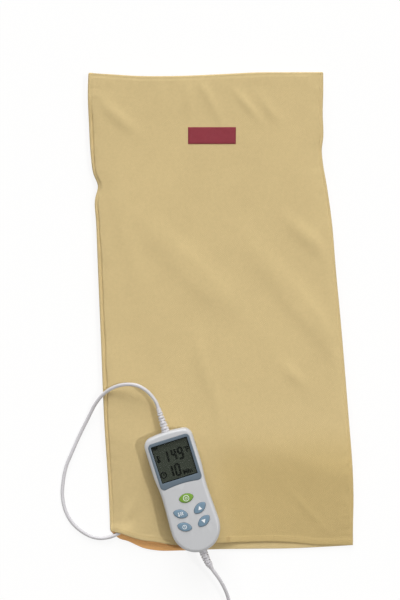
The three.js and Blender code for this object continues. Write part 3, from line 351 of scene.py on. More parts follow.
def hardFinish(name, colour, roughness, surface=hardSurface, **plain):
    # a moulded or metal surface: a faint mottle, edges painted lighter and hollows painted darker as shade,
    # and moulded grain
    finish, tree, shader = newFinish(name, **plain)
    where = placeOn(tree, "Object")
    mottle = {"Scale": surface["toneScale"], "Depth": surface["toneDepth"]}
    tone = useGroup(tree, "mottle", Color=linear(*colour), Vector=where, **mottle)
    wornAndShaded = useGroup(tree, "wearAndShade", Color=tone["Color"], Edge=surface["edge"], Hollow=surface["hollow"])
    grain = {"Scale": surface["grain"], "Smear": surface["smear"]}
    skin = useGroup(tree, "grain", Vector=where, Roughness=roughness, **grain)
    coat(tree, shader, wornAndShaded["Color"], skin["Height"], surface["bump"])
    feed(tree, shader, {"Roughness": skin["Roughness"]})
    return finish


def clearFinish(name, colour, roughness, **plain):
    # a hard clear window, nearly all see-through, that keeps its gloss
    finish, tree, shader = newFinish(name, **plain)
    where = placeOn(tree, "Object")
    tone = useGroup(tree, "mottle", Color=linear(*colour), Vector=where, Scale=60.0, Depth=0.02)
    skin = useGroup(tree, "grain", Vector=where, Scale=900.0, Roughness=roughness, Smear=0.05)
    feed(tree, shader, {"Base_Color": tone["Color"], "Roughness": skin["Roughness"]})
    return finish


yellow = (206, 185, 137)
# painted shade: the front cloth darker and warmer towards the lower right, where it slopes down to the hem
# away from the light
paintedLowerShade = {"paintedTone": (200, 177, 124), "reach": (("X", -0.06, 0.02), ("Y", -0.16, -0.24))}
# painted light: the back cloth lighter and orange inside the open mouth, for light bounced between the two
# cloths
paintedMouthGlow = {"paintedTone": (232, 178, 118), "reach": (("X", -0.02, -0.08), ("Y", -0.298, -0.312))}
glossy = {"Coat_Weight": 0.1, "Coat_Roughness": 0.25}
finishes = {
    "flannel": flannelFinish("yellowFlannel", yellow),
    "flannelFront": flannelFinish("flannelFront", yellow, **paintedLowerShade),
    "flannelInside": flannelFinish("flannelInside", yellow, **paintedMouthGlow),
    "hemThread": threadFinish("yellowThread", (196, 172, 120)),
    "label": wovenFinish("burgundyLabel", (128, 33, 48), 1800.0, 900.0),
    "labelThread": threadFinish("burgundyThread", (112, 30, 44)),
    "cord": hardFinish("paleCord", (196, 195, 200), 0.42, Coat_Weight=0.08, Coat_Roughness=0.3),
    "housing": hardFinish("whiteHousing", (184, 186, 190), 0.4, **glossy),
    # the bezel's sharp edges painted much lighter, a painted highlight line
    "bezel": hardFinish("slateBezel", (82, 97, 110), 0.36, {**hardSurface, "edge": 0.35}, Coat_Weight=0.15),
    "window": clearFinish("clearWindow", (120, 128, 120), 0.12, Alpha=0.03, IOR=1.49, Specular_IOR_Level=0.2),
    "display": hardFinish("displayFace", (53, 58, 50), 0.6, printSurface, Specular_IOR_Level=0.04),
    "displayInkAndShade": hardFinish("displayInkAndShade", (2, 3, 2), 0.8, printSurface, Specular_IOR_Level=0.0),
    "greenKey": hardFinish("greenKey", (104, 144, 36), 0.45, {**keySurface, "edge": 0.12}),
    "blueKey": hardFinish("blueKey", (104, 130, 150), 0.45, keySurface),
    "keyPrint": hardFinish("keyPrint", (226, 230, 234), 0.5, printSurface),
    "padSheet": wovenFinish("padEnvelope", (226, 218, 200), 1100.0, 500.0),
    "batting": flannelFinish("battingFibre", (240, 238, 232), depth=0.09),
    "carrier": flannelFinish("carrierFibre", (214, 210, 198), depth=0.12),
    "wire": hardFinish("wireCoat", (201, 118, 60), 0.5),
    "darkPart": hardFinish("darkPart", (40, 41, 44), 0.5),
    "board": hardFinish("boardMask", (45, 106, 62), 0.4, Coat_Weight=0.3),
    "capacitor": hardFinish("capacitorDip", (184, 144, 42), 0.4, Coat_Weight=0.4),
    "palePart": hardFinish("palePart", (228, 224, 212), 0.5),
    "screw": hardFinish("platedScrew", (184, 186, 190), 0.32, metalSurface, Metallic=1.0),
    "blade": hardFinish("brassBlade", (206, 176, 104), 0.3, {**metalSurface, "grain": 3000.0}, Metallic=1.0),
}
print("finishes made")


# Shared shapes


def gridFaces(rows, columns, around=False):
    # quads a, b, c, d between neighbouring rows and columns, closing on themselves if around
    row = np.arange(rows - 1)[:, None]
    column = np.arange(columns if around else columns - 1)[None, :]
    first = row * columns + column
    second = row * columns + (column + 1) % columns
    return np.stack([first, second, second + columns, first + columns], -1).reshape(-1, 4)


def loftFaces(ringCount, sides):
    # quads between neighbouring rings, and a cap at each end
    last = (ringCount - 1) * sides
    caps = [list(range(sides))[::-1], list(range(last, last + sides))]
    return gridFaces(ringCount, sides, around=True).tolist() + caps


def makePiece(name, points, faces, uv=None, sharp=None):
    # points in mm in the part's frame, faces as lists of point numbers
    mesh = bpy.data.meshes.new(name)
    points = np.asarray(points, float).reshape(-1, 3) * millimetre
    mesh.from_pydata(points.tolist(), [], [list(map(int, face)) for face in faces])
    if uv is not None:
        layer = mesh.uv_layers.new(name="cloth")
        corner = np.zeros(len(mesh.loops), int)
        mesh.loops.foreach_get("vertex_index", corner)
        layer.uv.foreach_set("vector", (np.asarray(uv).reshape(-1, 2) * millimetre)[corner].ravel())
    mesh.shade_smooth()
    if sharp is not None:
        mesh.set_sharp_from_angle(angle=math.radians(sharp))
    return addObject(name, mesh)


def joinParts(name, parts, sharp=None):
    # parts are (points, faces); several closed shells become one piece
    points, faces, start = [], [], 0
    for some, theirs in parts:
        some = np.asarray(some, float).reshape(-1, 3)
        points.append(some)
        faces += [[corner + start for corner in face] for face in theirs]
        start += len(some)
    return makePiece(name, np.vstack(points), faces, sharp=sharp)


def thinSheet(name, x, y, top, uv, thickness):
    # a grid of points with cloth of so many mm under it
    piece = makePiece(name, np.stack([x, y, top], -1), gridFaces(*x.shape), uv)
    under = piece.modifiers.new("thickness", "SOLIDIFY")
    under.thickness = thickness * millimetre
    under.offset = -1
    return piece


def dress(piece, body, slot, finish, replaced=()):
    piece.data.materials.clear()
    piece.data.materials.append(finish)
    if body is not None:
        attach(piece, body)
    if replaced:
        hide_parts(*replaced)
    return piece


def unit(vectors):
    return vectors / np.linalg.norm(vectors, axis=-1, keepdims=True)


def fullTurn(count):
    return np.linspace(0, 2 * np.pi, count, endpoint=False)


def atHeight(outline, height):
    return np.column_stack([outline, np.full(len(outline), height)])


def turnedAt(x, y, u, v, degrees):
    # u, v turned about their origin, which is then moved to x, y
    turn = math.radians(degrees)
    return x + u * math.cos(turn) - v * math.sin(turn), y + u * math.sin(turn) + v * math.cos(turn)


def alongPath(points):
    # distance travelled along a line of points
    return np.concatenate([[0], np.cumsum(np.linalg.norm(np.diff(points, axis=0), axis=1))])


def readAt(at, places, rows):
    # every column of the rows, read between their places
    return np.stack([np.interp(at, places, column) for column in rows.T], -1)


def evenly(points, step):
    # the same line with points a step apart
    travelled = alongPath(points)
    count = max(int(round(travelled[-1] / step)), 2)
    return readAt(np.linspace(0, travelled[-1], count + 1), travelled, points)


def hermite(u, start, leave, end, arrive):
    # cubic from start to end over u from 0 to 1, with the slopes that it leaves and arrives with
    first = (2 * u**3 - 3 * u**2 + 1) * start + (u**3 - 2 * u**2 + u) * leave
    return first + (3 * u**2 - 2 * u**3) * end + (u**3 - u**2) * arrive


def bezier(points, count=120):
    t = np.linspace(0, 1, count)[:, None]
    p = np.asarray(points, float)
    if len(p) == 3:
        return (1 - t) ** 2 * p[0] + 2 * t * (1 - t) * p[1] + t**2 * p[2]
    return (1 - t) ** 3 * p[0] + 3 * t * (1 - t) ** 2 * p[1] + 3 * t**2 * (1 - t) * p[2] + t**3 * p[3]


def routeCurve(route, step):
    # p(u) = cubic through p1 and p2 with slopes from p0 and p3, knots spaced by root of distance
    p = np.asarray(route, float)
    p = np.vstack([2 * p[0] - p[1], p, 2 * p[-1] - p[-2]])
    gap = np.sqrt(np.linalg.norm(np.diff(p, axis=0), axis=1))[:, None]
    before, here, after = gap[:-2], gap[1:-1], gap[2:]
    p0, p1, p2, p3 = p[:-3], p[1:-2], p[2:-1], p[3:]
    m1 = p2 - p1 + here * ((p1 - p0) / before - (p2 - p0) / (before + here))
    m2 = p2 - p1 + here * ((p3 - p2) / after - (p3 - p1) / (here + after))
    u = np.linspace(0, 1, 24, endpoint=False)[None, :, None]
    dense = hermite(u, p1[:, None], m1[:, None], p2[:, None], m2[:, None]).reshape(-1, 3)
    return evenly(np.vstack([dense, p[-2]]), step)


def sweptRings(centres, radii, sides):
    # ring(s, a) = c(s) + r(s, a) (cos a side + sin a rise), square to the path
    ahead = unit(np.gradient(centres, axis=0))
    side = unit(np.cross([0.0, 0.0, 1.0], ahead))
    rise = np.cross(ahead, side)
    radii = np.broadcast_to(np.asarray(radii, float).reshape(len(centres), -1), (len(centres), sides))
    sideways, upward = radii * np.cos(fullTurn(sides)), radii * np.sin(fullTurn(sides))
    return centres[:, None] + sideways[..., None] * side[:, None] + upward[..., None] * rise[:, None]


def tube(name, centres, radii, sides, girth):
    # girth is the radius that its threads are mapped round
    uv = np.stack(np.meshgrid(np.linspace(0, 2 * np.pi * girth, sides), alongPath(centres)), -1)
    return makePiece(name, sweptRings(centres, radii, sides), loftFaces(len(centres), sides), uv)


def smoothRise(value, start, end):
    share = np.clip((value - start) / (end - start), 0, 1)
    return share * share * (3 - 2 * share)


# Cords, first of the pieces

leadCord = {
    "diameter": 5.0,
    "sides": 18,
    "step": 1.8,
    "hidden": 2.2,  # how far each end runs on inside its sleeve
    "route": [
        (-146.28, -302.62, 4.9), (-151.5, -305, 4.6), (-158, -308.6, 4.4), (-165, -312.3, 4.4),
        (-172.5, -315.2, 3.9), (-181, -316.8, 3), (-190, -317, 2.6), (-202, -313.8, 2.6),
        (-216.3, -304.7, 2.6), (-228.2, -292.2, 2.6), (-236.6, -275, 2.6), (-239.8, -253.8, 2.6),
        (-237.6, -232.9, 2.6), (-232.3, -212.3, 2.6), (-222.7, -191.8, 2.6), (-210, -167.3, 2.7),
        (-197, -144.7, 5), (-185.2, -124.9, 10.4), (-173.5, -111.8, 16.6), (-158.2, -102.2, 24.4),
        (-141, -98.2, 31), (-124.3, -100, 35), (-111.6, -107.4, 35.8), (-103.2, -116.6, 35),
        (-97.3, -126.8, 34.2), (-95.26, -133.87, 33.9),
    ],
}
mainsLead = {
    "diameter": 5.0,
    "sides": 14,
    "step": 2.2,
    "hidden": 2.2,
    "length": 1.92,  # metres
    "route": [
        (-32.5, -364.2, 30.34), (-29.6, -369.2, 29), (-23.8, -378.5, 25.9), (-18.2, -389.6, 22.1),
        (-13.9, -401, 17.8), (-11, -413, 13), (-9.4, -425, 8.6), (-8.3, -437, 5.3), (-7.4, -448, 3.4),
        (-6.8, -458, 2.7), (-6.4, -467, 2.6),
    ],
    "coilCentre": (28.0, -472.0),
    "coilRadius": 34.4,
    "coilBase": 2.6,
    "layers": 4,
    "turns": 10.25,
    "climb": 0.5,  # turns taken by the rise to the next layer
    "perTurn": 24,
    "gap": 0.6,
    "tail": [
        (34, -506.4, 19.4), (41, -506.4, 19.2), (48, -506.4, 17.8), (54, -506.4, 15.4),
        (60, -506.4, 12.6), (66, -506.4, 10.2), (72, -506.4, 8.6), (77, -506.4, 8), (81.7, -506.4, 8),
    ],
}


def coilPoints(lead):
    # radius falls and grows in turn at a steady rate, and each reversal climbs one layer
    perLayer = lead["turns"] / lead["layers"]
    turn = np.linspace(0, lead["turns"], int(lead["turns"] * lead["perTurn"]) + 1)
    layer = np.minimum(np.floor(turn / perLayer), lead["layers"] - 1)
    within = turn - layer * perLayer
    inward = np.where(layer % 2 == 0, within, perLayer - within)
    pitch = lead["diameter"] + lead["gap"]
    starts = np.arange(1, lead["layers"])[:, None] * perLayer - lead["climb"] / 2
    climbed = smoothRise(turn[None, :], starts, starts + lead["climb"]).sum(0)
    radius = lead["coilRadius"] - pitch * inward
    angle = np.pi + 2 * np.pi * turn
    x = lead["coilCentre"][0] + radius * np.cos(angle)
    y = lead["coilCentre"][1] + radius * np.sin(angle)
    return np.stack([x, y, lead["coilBase"] + pitch * climbed], -1)


def cordPath(route, lead):
    # the laid line, and a short straight length that runs on into the sleeve at each end
    points = routeCurve(route, lead["step"])
    first = points[0] + unit(points[0] - points[1]) * lead["hidden"]
    last = points[-1] + unit(points[-1] - points[-2]) * lead["hidden"]
    return np.vstack([first, points, last])


def cordPiece(name, path, lead, replaced):
    radius = lead["diameter"] / 2
    piece = tube(name, path, np.full(len(path), radius), lead["sides"], radius)
    return dress(piece, None, "cord", finishes["cord"], replaced)


leadPath = cordPath(leadCord["route"], leadCord)
controllerLead = cordPiece("controllerLead", leadPath, leadCord, ["controller_lead"])
mainsPath = cordPath(np.vstack([mainsLead["route"], coilPoints(mainsLead), mainsLead["tail"]]), mainsLead)
mainsCord = cordPiece("mainsCord", mainsPath, mainsLead, ["mains_cord", "mains_cord_coil"])
print("cords laid: lead", round(alongPath(leadPath)[-1]), "mm, mains", round(alongPath(mainsPath)[-1]), "mm")


# Cover

cover = {
    "halfLength": 347.3,
    "halfWidth": 174.0,
    "cloth": 1.6,
    "backTop": 1.6,
    "rimTop": 3.5,
    "crownTop": 20.6,
    "seamFlange": 3.0,
    # width in mm of each edge's wall, shoulder and slope, and the share of the height each still lacks
    "leftRise": {"wall": (1.6, 0.2), "shoulder": (12.0, 0.06), "slope": (45.0, 0.1)},
    "rightRise": {"wall": (1.5, 0.06), "shoulder": (12.0, 0.055), "slope": (60.0, 0.04)},
    "closedRise": {"wall": (3.0, 0.02), "shoulder": (12.0, 0.01), "slope": (40.0, 0.0)},
    "backRoll": 12.0,
    "mouthHeight": 6.4,
    "fallEase": 22.0,
    "slack": 2.0,
    "leadLift": 5.4,
    "leadLiftSpread": 15.0,
    "hemBand": 7.4,
    "hemThickness": 0.5,
    "grid": (170, 262),
    "backGrid": (110, 220),
    "under": 1.9,  # height of the pad's lower face
    "hemStitch": 1.3,  # how far the stitches and their groove lie inside the hem's fold
    "grooveWidth": 0.7,
    # the rolled lip: its waves, how far it leans in, and where along the cover it dies away
    "lip": {"waves": (0.7, 21, 24), "lean": 1.5, "rise": 1.1, "width": (1.4, 3.4), "end": (0.86, 0.92)},
    "calm": {"share": 0.85, "along": (0.78, 0.9)},  # the left edge flattens towards the closed end
    "looseWithin": 24,  # mm from a seam to where the cloth lies free
    "looseHem": (4, 26),
    # crumples: height in mm, slant of x and of y, size in mm, seed
    "crumples": [(0.4, 0.4, 0.0, 74, 11), (0.2, 0.0, -0.3, 37, 12), (0.09, 0.0, 0.0, 15, 13)],
    # puckers of the sewn edges, in mm, with strength and seed on the left, the right and the closed end
    "pucker": {"height": 0.35, "out": 9, "reach": 7, "size": 7.5, "fine": 3.6, "fineShare": 0.5},
    "puckerSides": [(1.0, 21), (0.9, 22), (0.8, 23)],
    "hemRise": (-1.6, 2.4),
    "hemRoll": 1.2,
    "hemFold": 0.4,  # share of the hem's thickness that is left at its fold
    "hemGroove": 0.25,
    "backHemRise": 1.4,
    "backHemThickness": 0.9,
    "backHemGroove": 0.35,
    "backThinner": 0.15,
    "crownEase": 0.3,  # how gradually a fold flattens against the crown
    "leftEdge": [
        (-0.885, -1), (-0.7, -0.992), (-0.403, -0.992), (-0.107, -0.983), (0.19, -0.975),
        (0.386, -0.969), (0.478, -0.968), (0.534, -0.938), (0.585, -0.97), (0.659, -0.982),
        (0.777, -0.983), (0.93, -0.974), (1, -0.962),
    ],
    "rightEdge": [
        (-0.997, 0.98), (-0.902, 0.987), (-0.804, 0.997), (-0.69, 1), (-0.458, 0.99), (-0.062, 0.968),
        (0.136, 0.953), (0.334, 0.942), (0.484, 0.917), (0.582, 0.895), (0.631, 0.893), (0.68, 0.91),
        (0.78, 0.917), (0.878, 0.932), (0.951, 0.94),
    ],
    "closedEdge": [
        (-0.962, 0.993), (-0.798, 0.982), (-0.602, 0.97), (-0.307, 0.961), (0.186, 0.957),
        (0.432, 0.9565), (0.76, 0.949), (0.94, 0.945),
    ],
    "frontHem": [
        (-1, -0.885), (-0.909, -0.896), (-0.779, -0.9226), (-0.623, -0.938), (-0.507, -0.952),
        (-0.146, -0.9557), (0.055, -0.9597), (0.403, -0.967), (0.554, -0.976), (0.668, -0.9856),
        (0.934, -0.995), (0.98, -0.997),
    ],
    "backHem": [
        (-1, -0.885), (-0.944, -0.9133), (-0.859, -0.931), (-0.737, -0.962), (-0.628, -0.975),
        (-0.432, -0.981), (-0.128, -0.984), (0.135, -0.9896), (0.491, -0.997), (0.848, -0.9983),
        (0.98, -0.998),
    ],
    "mouth": [(-1, 0), (-0.86, 0.6), (-0.7, 1), (-0.2, 1), (0.1, 0.08), (1, 0)],
    # width of the rolled lip beside the left crease, and of the wall beyond it, mm
    "leftLip": [
        (-1, 4.2), (-0.6, 3.6), (-0.2, 4.6), (0.2, 4.4), (0.42, 3.4), (0.49, 1.2), (0.56, 1.2),
        (0.62, 3.4), (0.8, 4.2), (0.9, 3),
    ],
    "leftWall": [(-1, 1), (0.42, 1), (0.49, 2.8), (0.56, 2.8), (0.62, 1), (0.86, 1), (0.92, 3)],
    "rightShoulder": [(-1, 1), (0, 1), (0.3, 2.4), (0.6, 3), (1, 3)],
    "fall": [(-1, 125), (-0.06, 131), (0.3, 122), (1, 92)],
    # soft folds: place across and along, turn from the long side, length and width as shares, height in mm
    "folds": [
        (-0.214, 0.168, 43, 0.27, 0.115, 3.0), (0.656, 0.0, 36, 0.27, 0.1, 3.2),
        (0.744, 0.274, 45, 0.11, 0.063, 2.2), (-0.726, 0.306, 10, 0.18, 0.075, 1.9),
        (-0.167, -0.225, 8, 0.11, 0.052, 2.0), (-0.076, -0.372, 2, 0.115, 0.04, 1.4),
        (-0.849, -0.812, -38, 0.07, 0.046, 1.6), (0.568, -0.286, 40, 0.06, 0.046, 1.3),
        (-0.753, 0.81, 45, 0.104, 0.052, 1.7), (-0.398, 0.89, -14, 0.07, 0.046, 1.0),
        (-0.17, 0.876, 0, 0.07, 0.034, 1.4), (0.002, 0.864, 24, 0.092, 0.037, 1.6),
        (0.303, 0.83, 36, 0.075, 0.034, 1.5), (0.498, 0.8, 35, 0.063, 0.04, 1.0),
        (0.623, -0.841, 40, 0.12, 0.035, 0.55), (-0.43, -0.36, 17, 0.12, 0.2, 0.7),
    ],
    "leadLiftPlace": (-0.891, -0.893),
}


def spanAt(place, at):
    # the row below each value and how far on to the next row it lies, 0 to 1
    at = np.clip(at, place[0], place[-1])
    span = np.clip(np.searchsorted(place, at) - 1, 0, len(place) - 2)
    return span, (at - place[span]) / (place[span + 1] - place[span])


def smoothTable(rows, at):
    # cubic through the rows, with slopes averaged from both sides of each row
    place, value = np.asarray(rows, float).T
    step = np.diff(place)
    slope = np.diff(value) / step
    middle = (slope[:-1] * step[1:] + slope[1:] * step[:-1]) / (step[:-1] + step[1:])
    slopes = np.concatenate([slope[:1], middle, slope[-1:]])
    span, u = spanAt(place, at)
    leave, arrive = slopes[span] * step[span], slopes[span + 1] * step[span]
    return hermite(u, value[span], leave, value[span + 1], arrive)


def steadyTable(rows, at):
    # from row to row without ever passing a row's value
    place, value = np.asarray(rows, float).T
    span, u = spanAt(place, at)
    return value[span] + (value[span + 1] - value[span]) * u * u * (3 - 2 * u)


def softNoise(x, y, size, seed):
    # random heights on a lattice, joined by curves that are flat at each lattice point
    lattice = np.random.default_rng(seed).uniform(-1, 1, (96, 96))
    gx, gy = np.asarray(x) / size + 40.3, np.asarray(y) / size + 41.7
    ix, iy = np.floor(gx).astype(int), np.floor(gy).astype(int)
    fx, fy = gx - ix, gy - iy
    fx, fy = fx**3 * (fx * (6 * fx - 15) + 10), fy**3 * (fy * (6 * fy - 15) + 10)
    low = lattice[ix % 96, iy % 96] * (1 - fx) + lattice[(ix + 1) % 96, iy % 96] * fx
    high = lattice[ix % 96, (iy + 1) % 96] * (1 - fx) + lattice[(ix + 1) % 96, (iy + 1) % 96] * fx
    return low * (1 - fy) + high * fy


def waves(x, y, height, size, seed):
    # soft noise of so many mm, each wave about so many mm long
    return height * softNoise(x, y, size, seed)


def onCover(across, along):
    # shares of the half sizes to mm
    return across * cover["halfWidth"], along * cover["halfLength"]


def leftEdge(y):
    return cover["halfWidth"] * smoothTable(cover["leftEdge"], y / cover["halfLength"])


def rightEdge(y):
    return cover["halfWidth"] * smoothTable(cover["rightEdge"], y / cover["halfLength"])


def closedEdge(x):
    return cover["halfLength"] * smoothTable(cover["closedEdge"], x / cover["halfWidth"])


def hemEdge(x, hem):
    return cover["halfLength"] * smoothTable(cover[hem], x / cover["halfWidth"])


def coverPoint(across, along, hem):
    roughX = (2 * across - 1) * cover["halfWidth"]
    low, high = hemEdge(roughX, hem), closedEdge(roughX)
    y = low + (high - low) * along
    return leftEdge(y) + (rightEdge(y) - leftEdge(y)) * across, y


def rollShare(distance, width):
    # 0 at the seam to 1 on top, as 1 - (1 - s)^3
    return 1 - (1 - np.clip(distance / width, 0, 1)) ** 3


def edgeRise(distance, rise, wallGrow=1.0, shoulderGrow=1.0):
    # 1 on top, less a wall's, a shoulder's and a slope's share at the seam
    wall, shoulder, slope = rise["wall"], rise["shoulder"], rise["slope"]
    total = 1 - wall[1] * (1 - smoothRise(distance / (wall[0] * wallGrow), 0, 1))
    for (width, share), grow in ((shoulder, shoulderGrow), (slope, 1.0)):
        total = total - share * grow * (1 - np.clip(distance / (width * grow), 0, 1)) ** 2
    return total


def fallShare(distance, straight, ease):
    # 0 at the hem to 1 on top: an even slope, then a short rounded shoulder
    over = np.clip(distance - straight, 0, ease)
    return (np.clip(distance, 0, straight) + over - over**2 / (2 * ease)) / (straight + ease / 2)


def dent(distance, width):
    # 1 at distance 0, dying away on both sides as exp(-(d / w)^2)
    return np.exp(-((distance / width) ** 2))


def foldRise(x, y):
    # sum of long soft ridges exp(-(l / L)^2 - (w / W)^2)
    total = 0
    for across, along, turn, long, wide, height in cover["folds"]:
        angle = math.radians(turn)
        foldX, foldY = onCover(across, along)
        dx, dy = x - foldX, y - foldY
        lengthwise = (dy * math.cos(angle) - dx * math.sin(angle)) / (long * cover["halfLength"])
        sideways = (dx * math.cos(angle) + dy * math.sin(angle)) / (wide * cover["halfWidth"])
        total = total + height * np.exp(-(lengthwise**2) - sideways**2)
    return total


def frontSurface(x, y):
    # top of the front cloth: from its seams over the crown of the pad, falling to the open hem
    left, right, far = x - leftEdge(y), rightEdge(y) - x, closedEdge(x) - y
    hem = y - hemEdge(x, "frontHem")
    upward, sideward = y / cover["halfLength"], x / cover["halfWidth"]
    seam, rolled, calm = cover["seamFlange"], cover["lip"], cover["calm"]
    lip = steadyTable(cover["leftLip"], upward)
    lip = lip + waves(y, 0 * y, *rolled["waves"])
    kept = 1 - calm["share"] * smoothRise(upward, *calm["along"])
    lifted = 1 - kept * (1 - edgeRise(left - lip, cover["leftRise"], steadyTable(cover["leftWall"], upward)))
    shoulder = steadyTable(cover["rightShoulder"], upward)
    lifted = lifted * edgeRise(right - seam, cover["rightRise"], 1.0, shoulder)
    lifted = lifted * edgeRise(far - seam, cover["closedRise"])
    opened = steadyTable(cover["mouth"], sideward) * (cover["mouthHeight"] + cover["cloth"] - cover["under"])
    crown = cover["crownTop"] - cover["rimTop"] - cover["slack"]
    stand = fallShare(hem, steadyTable(cover["fall"], sideward), cover["fallEase"])
    level = opened / crown * (1 - stand) + stand

    # crumples of the loose cloth, fading out on the flat seam and the hem
    free = cover["looseWithin"]
    loose = smoothRise(np.minimum(left, right), seam, free) * smoothRise(far, seam, free)
    loose = loose * smoothRise(hem, *cover["looseHem"])
    slack = 0
    for height, slantX, slantY, size, seed in cover["crumples"]:
        slack = slack + waves(x + slantX * y, y + slantY * x, height, size, seed)
    top = cover["rimTop"] + lifted * crown * level + loose * (foldRise(x, y) + slack)
    ease = cover["crownEase"]
    top = cover["crownTop"] - ease * np.log1p(np.exp((cover["crownTop"] - top) / ease))
    leadX, leadY = onCover(*cover["leadLiftPlace"])
    overLead = np.exp(-((x - leadX) ** 2 + (y - leadY) ** 2) / cover["leadLiftSpread"] ** 2)
    top = top + cover["leadLift"] * overLead

    # puckers that run in from the sewn edges, and the rolled lip that leans in over the left crease
    pucker = cover["pucker"]
    for (distance, along), (strength, seed) in zip(((left, y), (right, y), (far, x)), cover["puckerSides"]):
        coarse = softNoise(along, 0 * along, pucker["size"], seed)
        gathers = coarse + waves(along, 0 * along, pucker["fineShare"], pucker["fine"], seed + 5)
        top = top + pucker["height"] * strength * gathers * dent(distance - pucker["out"], pucker["reach"])
    swell = smoothRise(left, 0, rolled["rise"]) * np.clip(1 - left / lip, 0, 1)
    swell = rolled["lean"] * swell * smoothRise(lip, *rolled["width"])
    return top + swell * (1 - smoothRise(upward, *rolled["end"]))


def stitchGroove(hem):
    return dent(hem - cover["hemBand"] + cover["hemStitch"], cover["grooveWidth"])


def frontTop(x, y):
    # the front cloth with its turned hem, which has a groove at its stitches
    top, hem = frontSurface(x, y), y - hemEdge(x, "frontHem")
    start, end = (cover["hemBand"] + more for more in cover["hemRise"])
    rolled = np.sqrt(np.clip(hem / cover["hemRoll"], 0, 1))
    full = cover["hemFold"] + (1 - cover["hemFold"]) * rolled
    top = top + cover["hemThickness"] * (1 - smoothRise(hem, start, end)) * full
    return top - cover["hemGroove"] * stitchGroove(hem)


def edgedLine(count, crowd=0.72):
    # 0 to 1 with the lines closer together at both ends
    t = np.linspace(0, 1, count + 1)
    return t - crowd * np.sin(2 * np.pi * t) / (2 * np.pi)


def clothGrid(grid, hem):
    # points across and along one cloth, and the same points on its flat cut, in mm
    across, along = np.meshgrid(*map(edgedLine, grid))
    x, y = coverPoint(across, along, hem)
    return x, y, np.stack([across * 2 * cover["halfWidth"], along * 2 * cover["halfLength"]], -1)


def coverFront():
    x, y, uv = clothGrid(cover["grid"], "frontHem")
    piece = thinSheet("coverFront", x, y, frontTop(x, y), uv, cover["cloth"])
    return dress(piece, "cover", "flannel", finishes["flannelFront"], ["cover_front"])


def seamHeight(x, y):
    # how far the sewn edge stands above the back cloth as it lies flat
    return frontSurface(x, y) - cover["rimTop"]


def backRise(x, y):
    # the back cloth curls up to each seam as h (1 - d / w)^2 and takes the highest where they meet
    total = 0 * x
    left, right, far = leftEdge(y), rightEdge(y), closedEdge(x)
    for distance, place in ((x - left, (left, y)), (right - x, (right, y)), (far - y, (x, far))):
        height = seamHeight(*place)
        total = np.maximum(total, height * (1 - np.clip(distance / cover["backRoll"], 0, 1)) ** 2)
    return total


def coverBack():
    x, y, uv = clothGrid(cover["backGrid"], "backHem")
    hem = y - hemEdge(x, "backHem")
    band = 1 - smoothRise(hem, cover["hemBand"], cover["hemBand"] + cover["backHemRise"])
    top = cover["backTop"] + cover["backHemThickness"] * band - cover["backHemGroove"] * stitchGroove(hem)
    top = top + backRise(x, y)
    piece = thinSheet("coverBack", x, y, top, uv, cover["cloth"] - cover["backThinner"])
    return dress(piece, "cover", "flannel", finishes["flannelInside"], ["cover_back"])


seamBead = {
    "inset": 1.2,
    "height": 1.85,
    "step": 2.2,
    "radius": 1.62,
    "sides": 10,
    "girth": 1.6,
    "rise": (0.16, 9, 31),
    "swell": (0.12, 6, 32),
    # start and end of each edge as shares of the half size, and the number of points
    "left": (-0.88, 0.985, 260),
    "right": (0.94, -0.985, 260),
    "closed": (-0.965, 0.93, 130),
}


def coverSeam():
    # rounded fold where front and back are sewn: an oval bead along the three closed edges
    up = np.linspace(*seamBead["left"]) * cover["halfLength"]
    down = np.linspace(*seamBead["right"]) * cover["halfLength"]
    over = np.linspace(*seamBead["closed"]) * cover["halfWidth"]
    left = np.stack([leftEdge(up) + seamBead["inset"], up], -1)
    far = np.stack([over, closedEdge(over) - seamBead["inset"]], -1)
    right = np.stack([rightEdge(down) - seamBead["inset"], down], -1)
    x, y = np.vstack([left, far, right]).T
    height = seamBead["height"] + seamHeight(x, y) + waves(x, y, *seamBead["rise"])
    path = evenly(np.column_stack([x, y, height]), seamBead["step"])
    swell = seamBead["radius"] + waves(path[:, 0], path[:, 1], *seamBead["swell"])
    piece = tube("coverSeam", path, swell, seamBead["sides"], seamBead["girth"])
    return dress(piece, "cover", "flannel", finishes["flannel"])


hemThread = {
    "pitch": 3.4,
    "length": 2.9,
    "radius": 0.34,
    "proud": 0.05,
    "backProud": 0.42,
    "span": (-0.97, 0.965, 240),  # start and end as shares of the half width, number of points
}
labelThread = {"pitch": 2.1, "length": 1.8, "radius": 0.24, "sunk": 0.2}
tackThread = {"pitch": 1.0, "length": 2.6, "radius": 0.3, "proud": 0.12}
tack = {"x": -6.6, "runs": (-2.6, -1.6, -0.6, 0.4, 1.4, 2.4), "start": 0.6, "beyond": 1.2, "points": 12}
stitchShape = {"stations": (-1, -0.72, 0, 0.72, 1), "sides": 6, "least": 0.02, "dip": 0.25}


def stitchRow(name, path, thread, slot, finish):
    # one spindle per stitch: rings of radius r sqrt(1 - t^2) along t from -1 to 1, with both ends dipped
    travelled = alongPath(path)
    at = np.arange(thread["pitch"] / 2, travelled[-1], thread["pitch"])
    centre = readAt(at, travelled, path)
    ahead = unit(readAt(at, travelled, np.gradient(path, axis=0)))
    side = unit(np.cross((0, 0, 1), ahead))
    rise = np.cross(ahead, side)
    t = np.array(stitchShape["stations"])
    turn = fullTurn(stitchShape["sides"])
    radius = thread["radius"] * np.sqrt(np.clip(1 - t**2, stitchShape["least"], 1))
    dip = stitchShape["dip"] * thread["radius"] * t[:, None] ** 2
    moves = (
        (t[:, None] * np.ones(len(turn)) * thread["length"] / 2, ahead),
        (radius[:, None] * np.cos(turn), side),
        (radius[:, None] * np.sin(turn) - dip, rise),
    )
    points = centre[:, None, None]
    for amount, way in moves:
        points = points + amount[None, ..., None] * way[:, None, None]
    faces, each = loftFaces(len(t), len(turn)), len(t) * len(turn)
    faces = [[corner + each * k for corner in face] for k in range(len(at)) for face in faces]
    return dress(makePiece(name, points, faces), "cover", slot, finish)


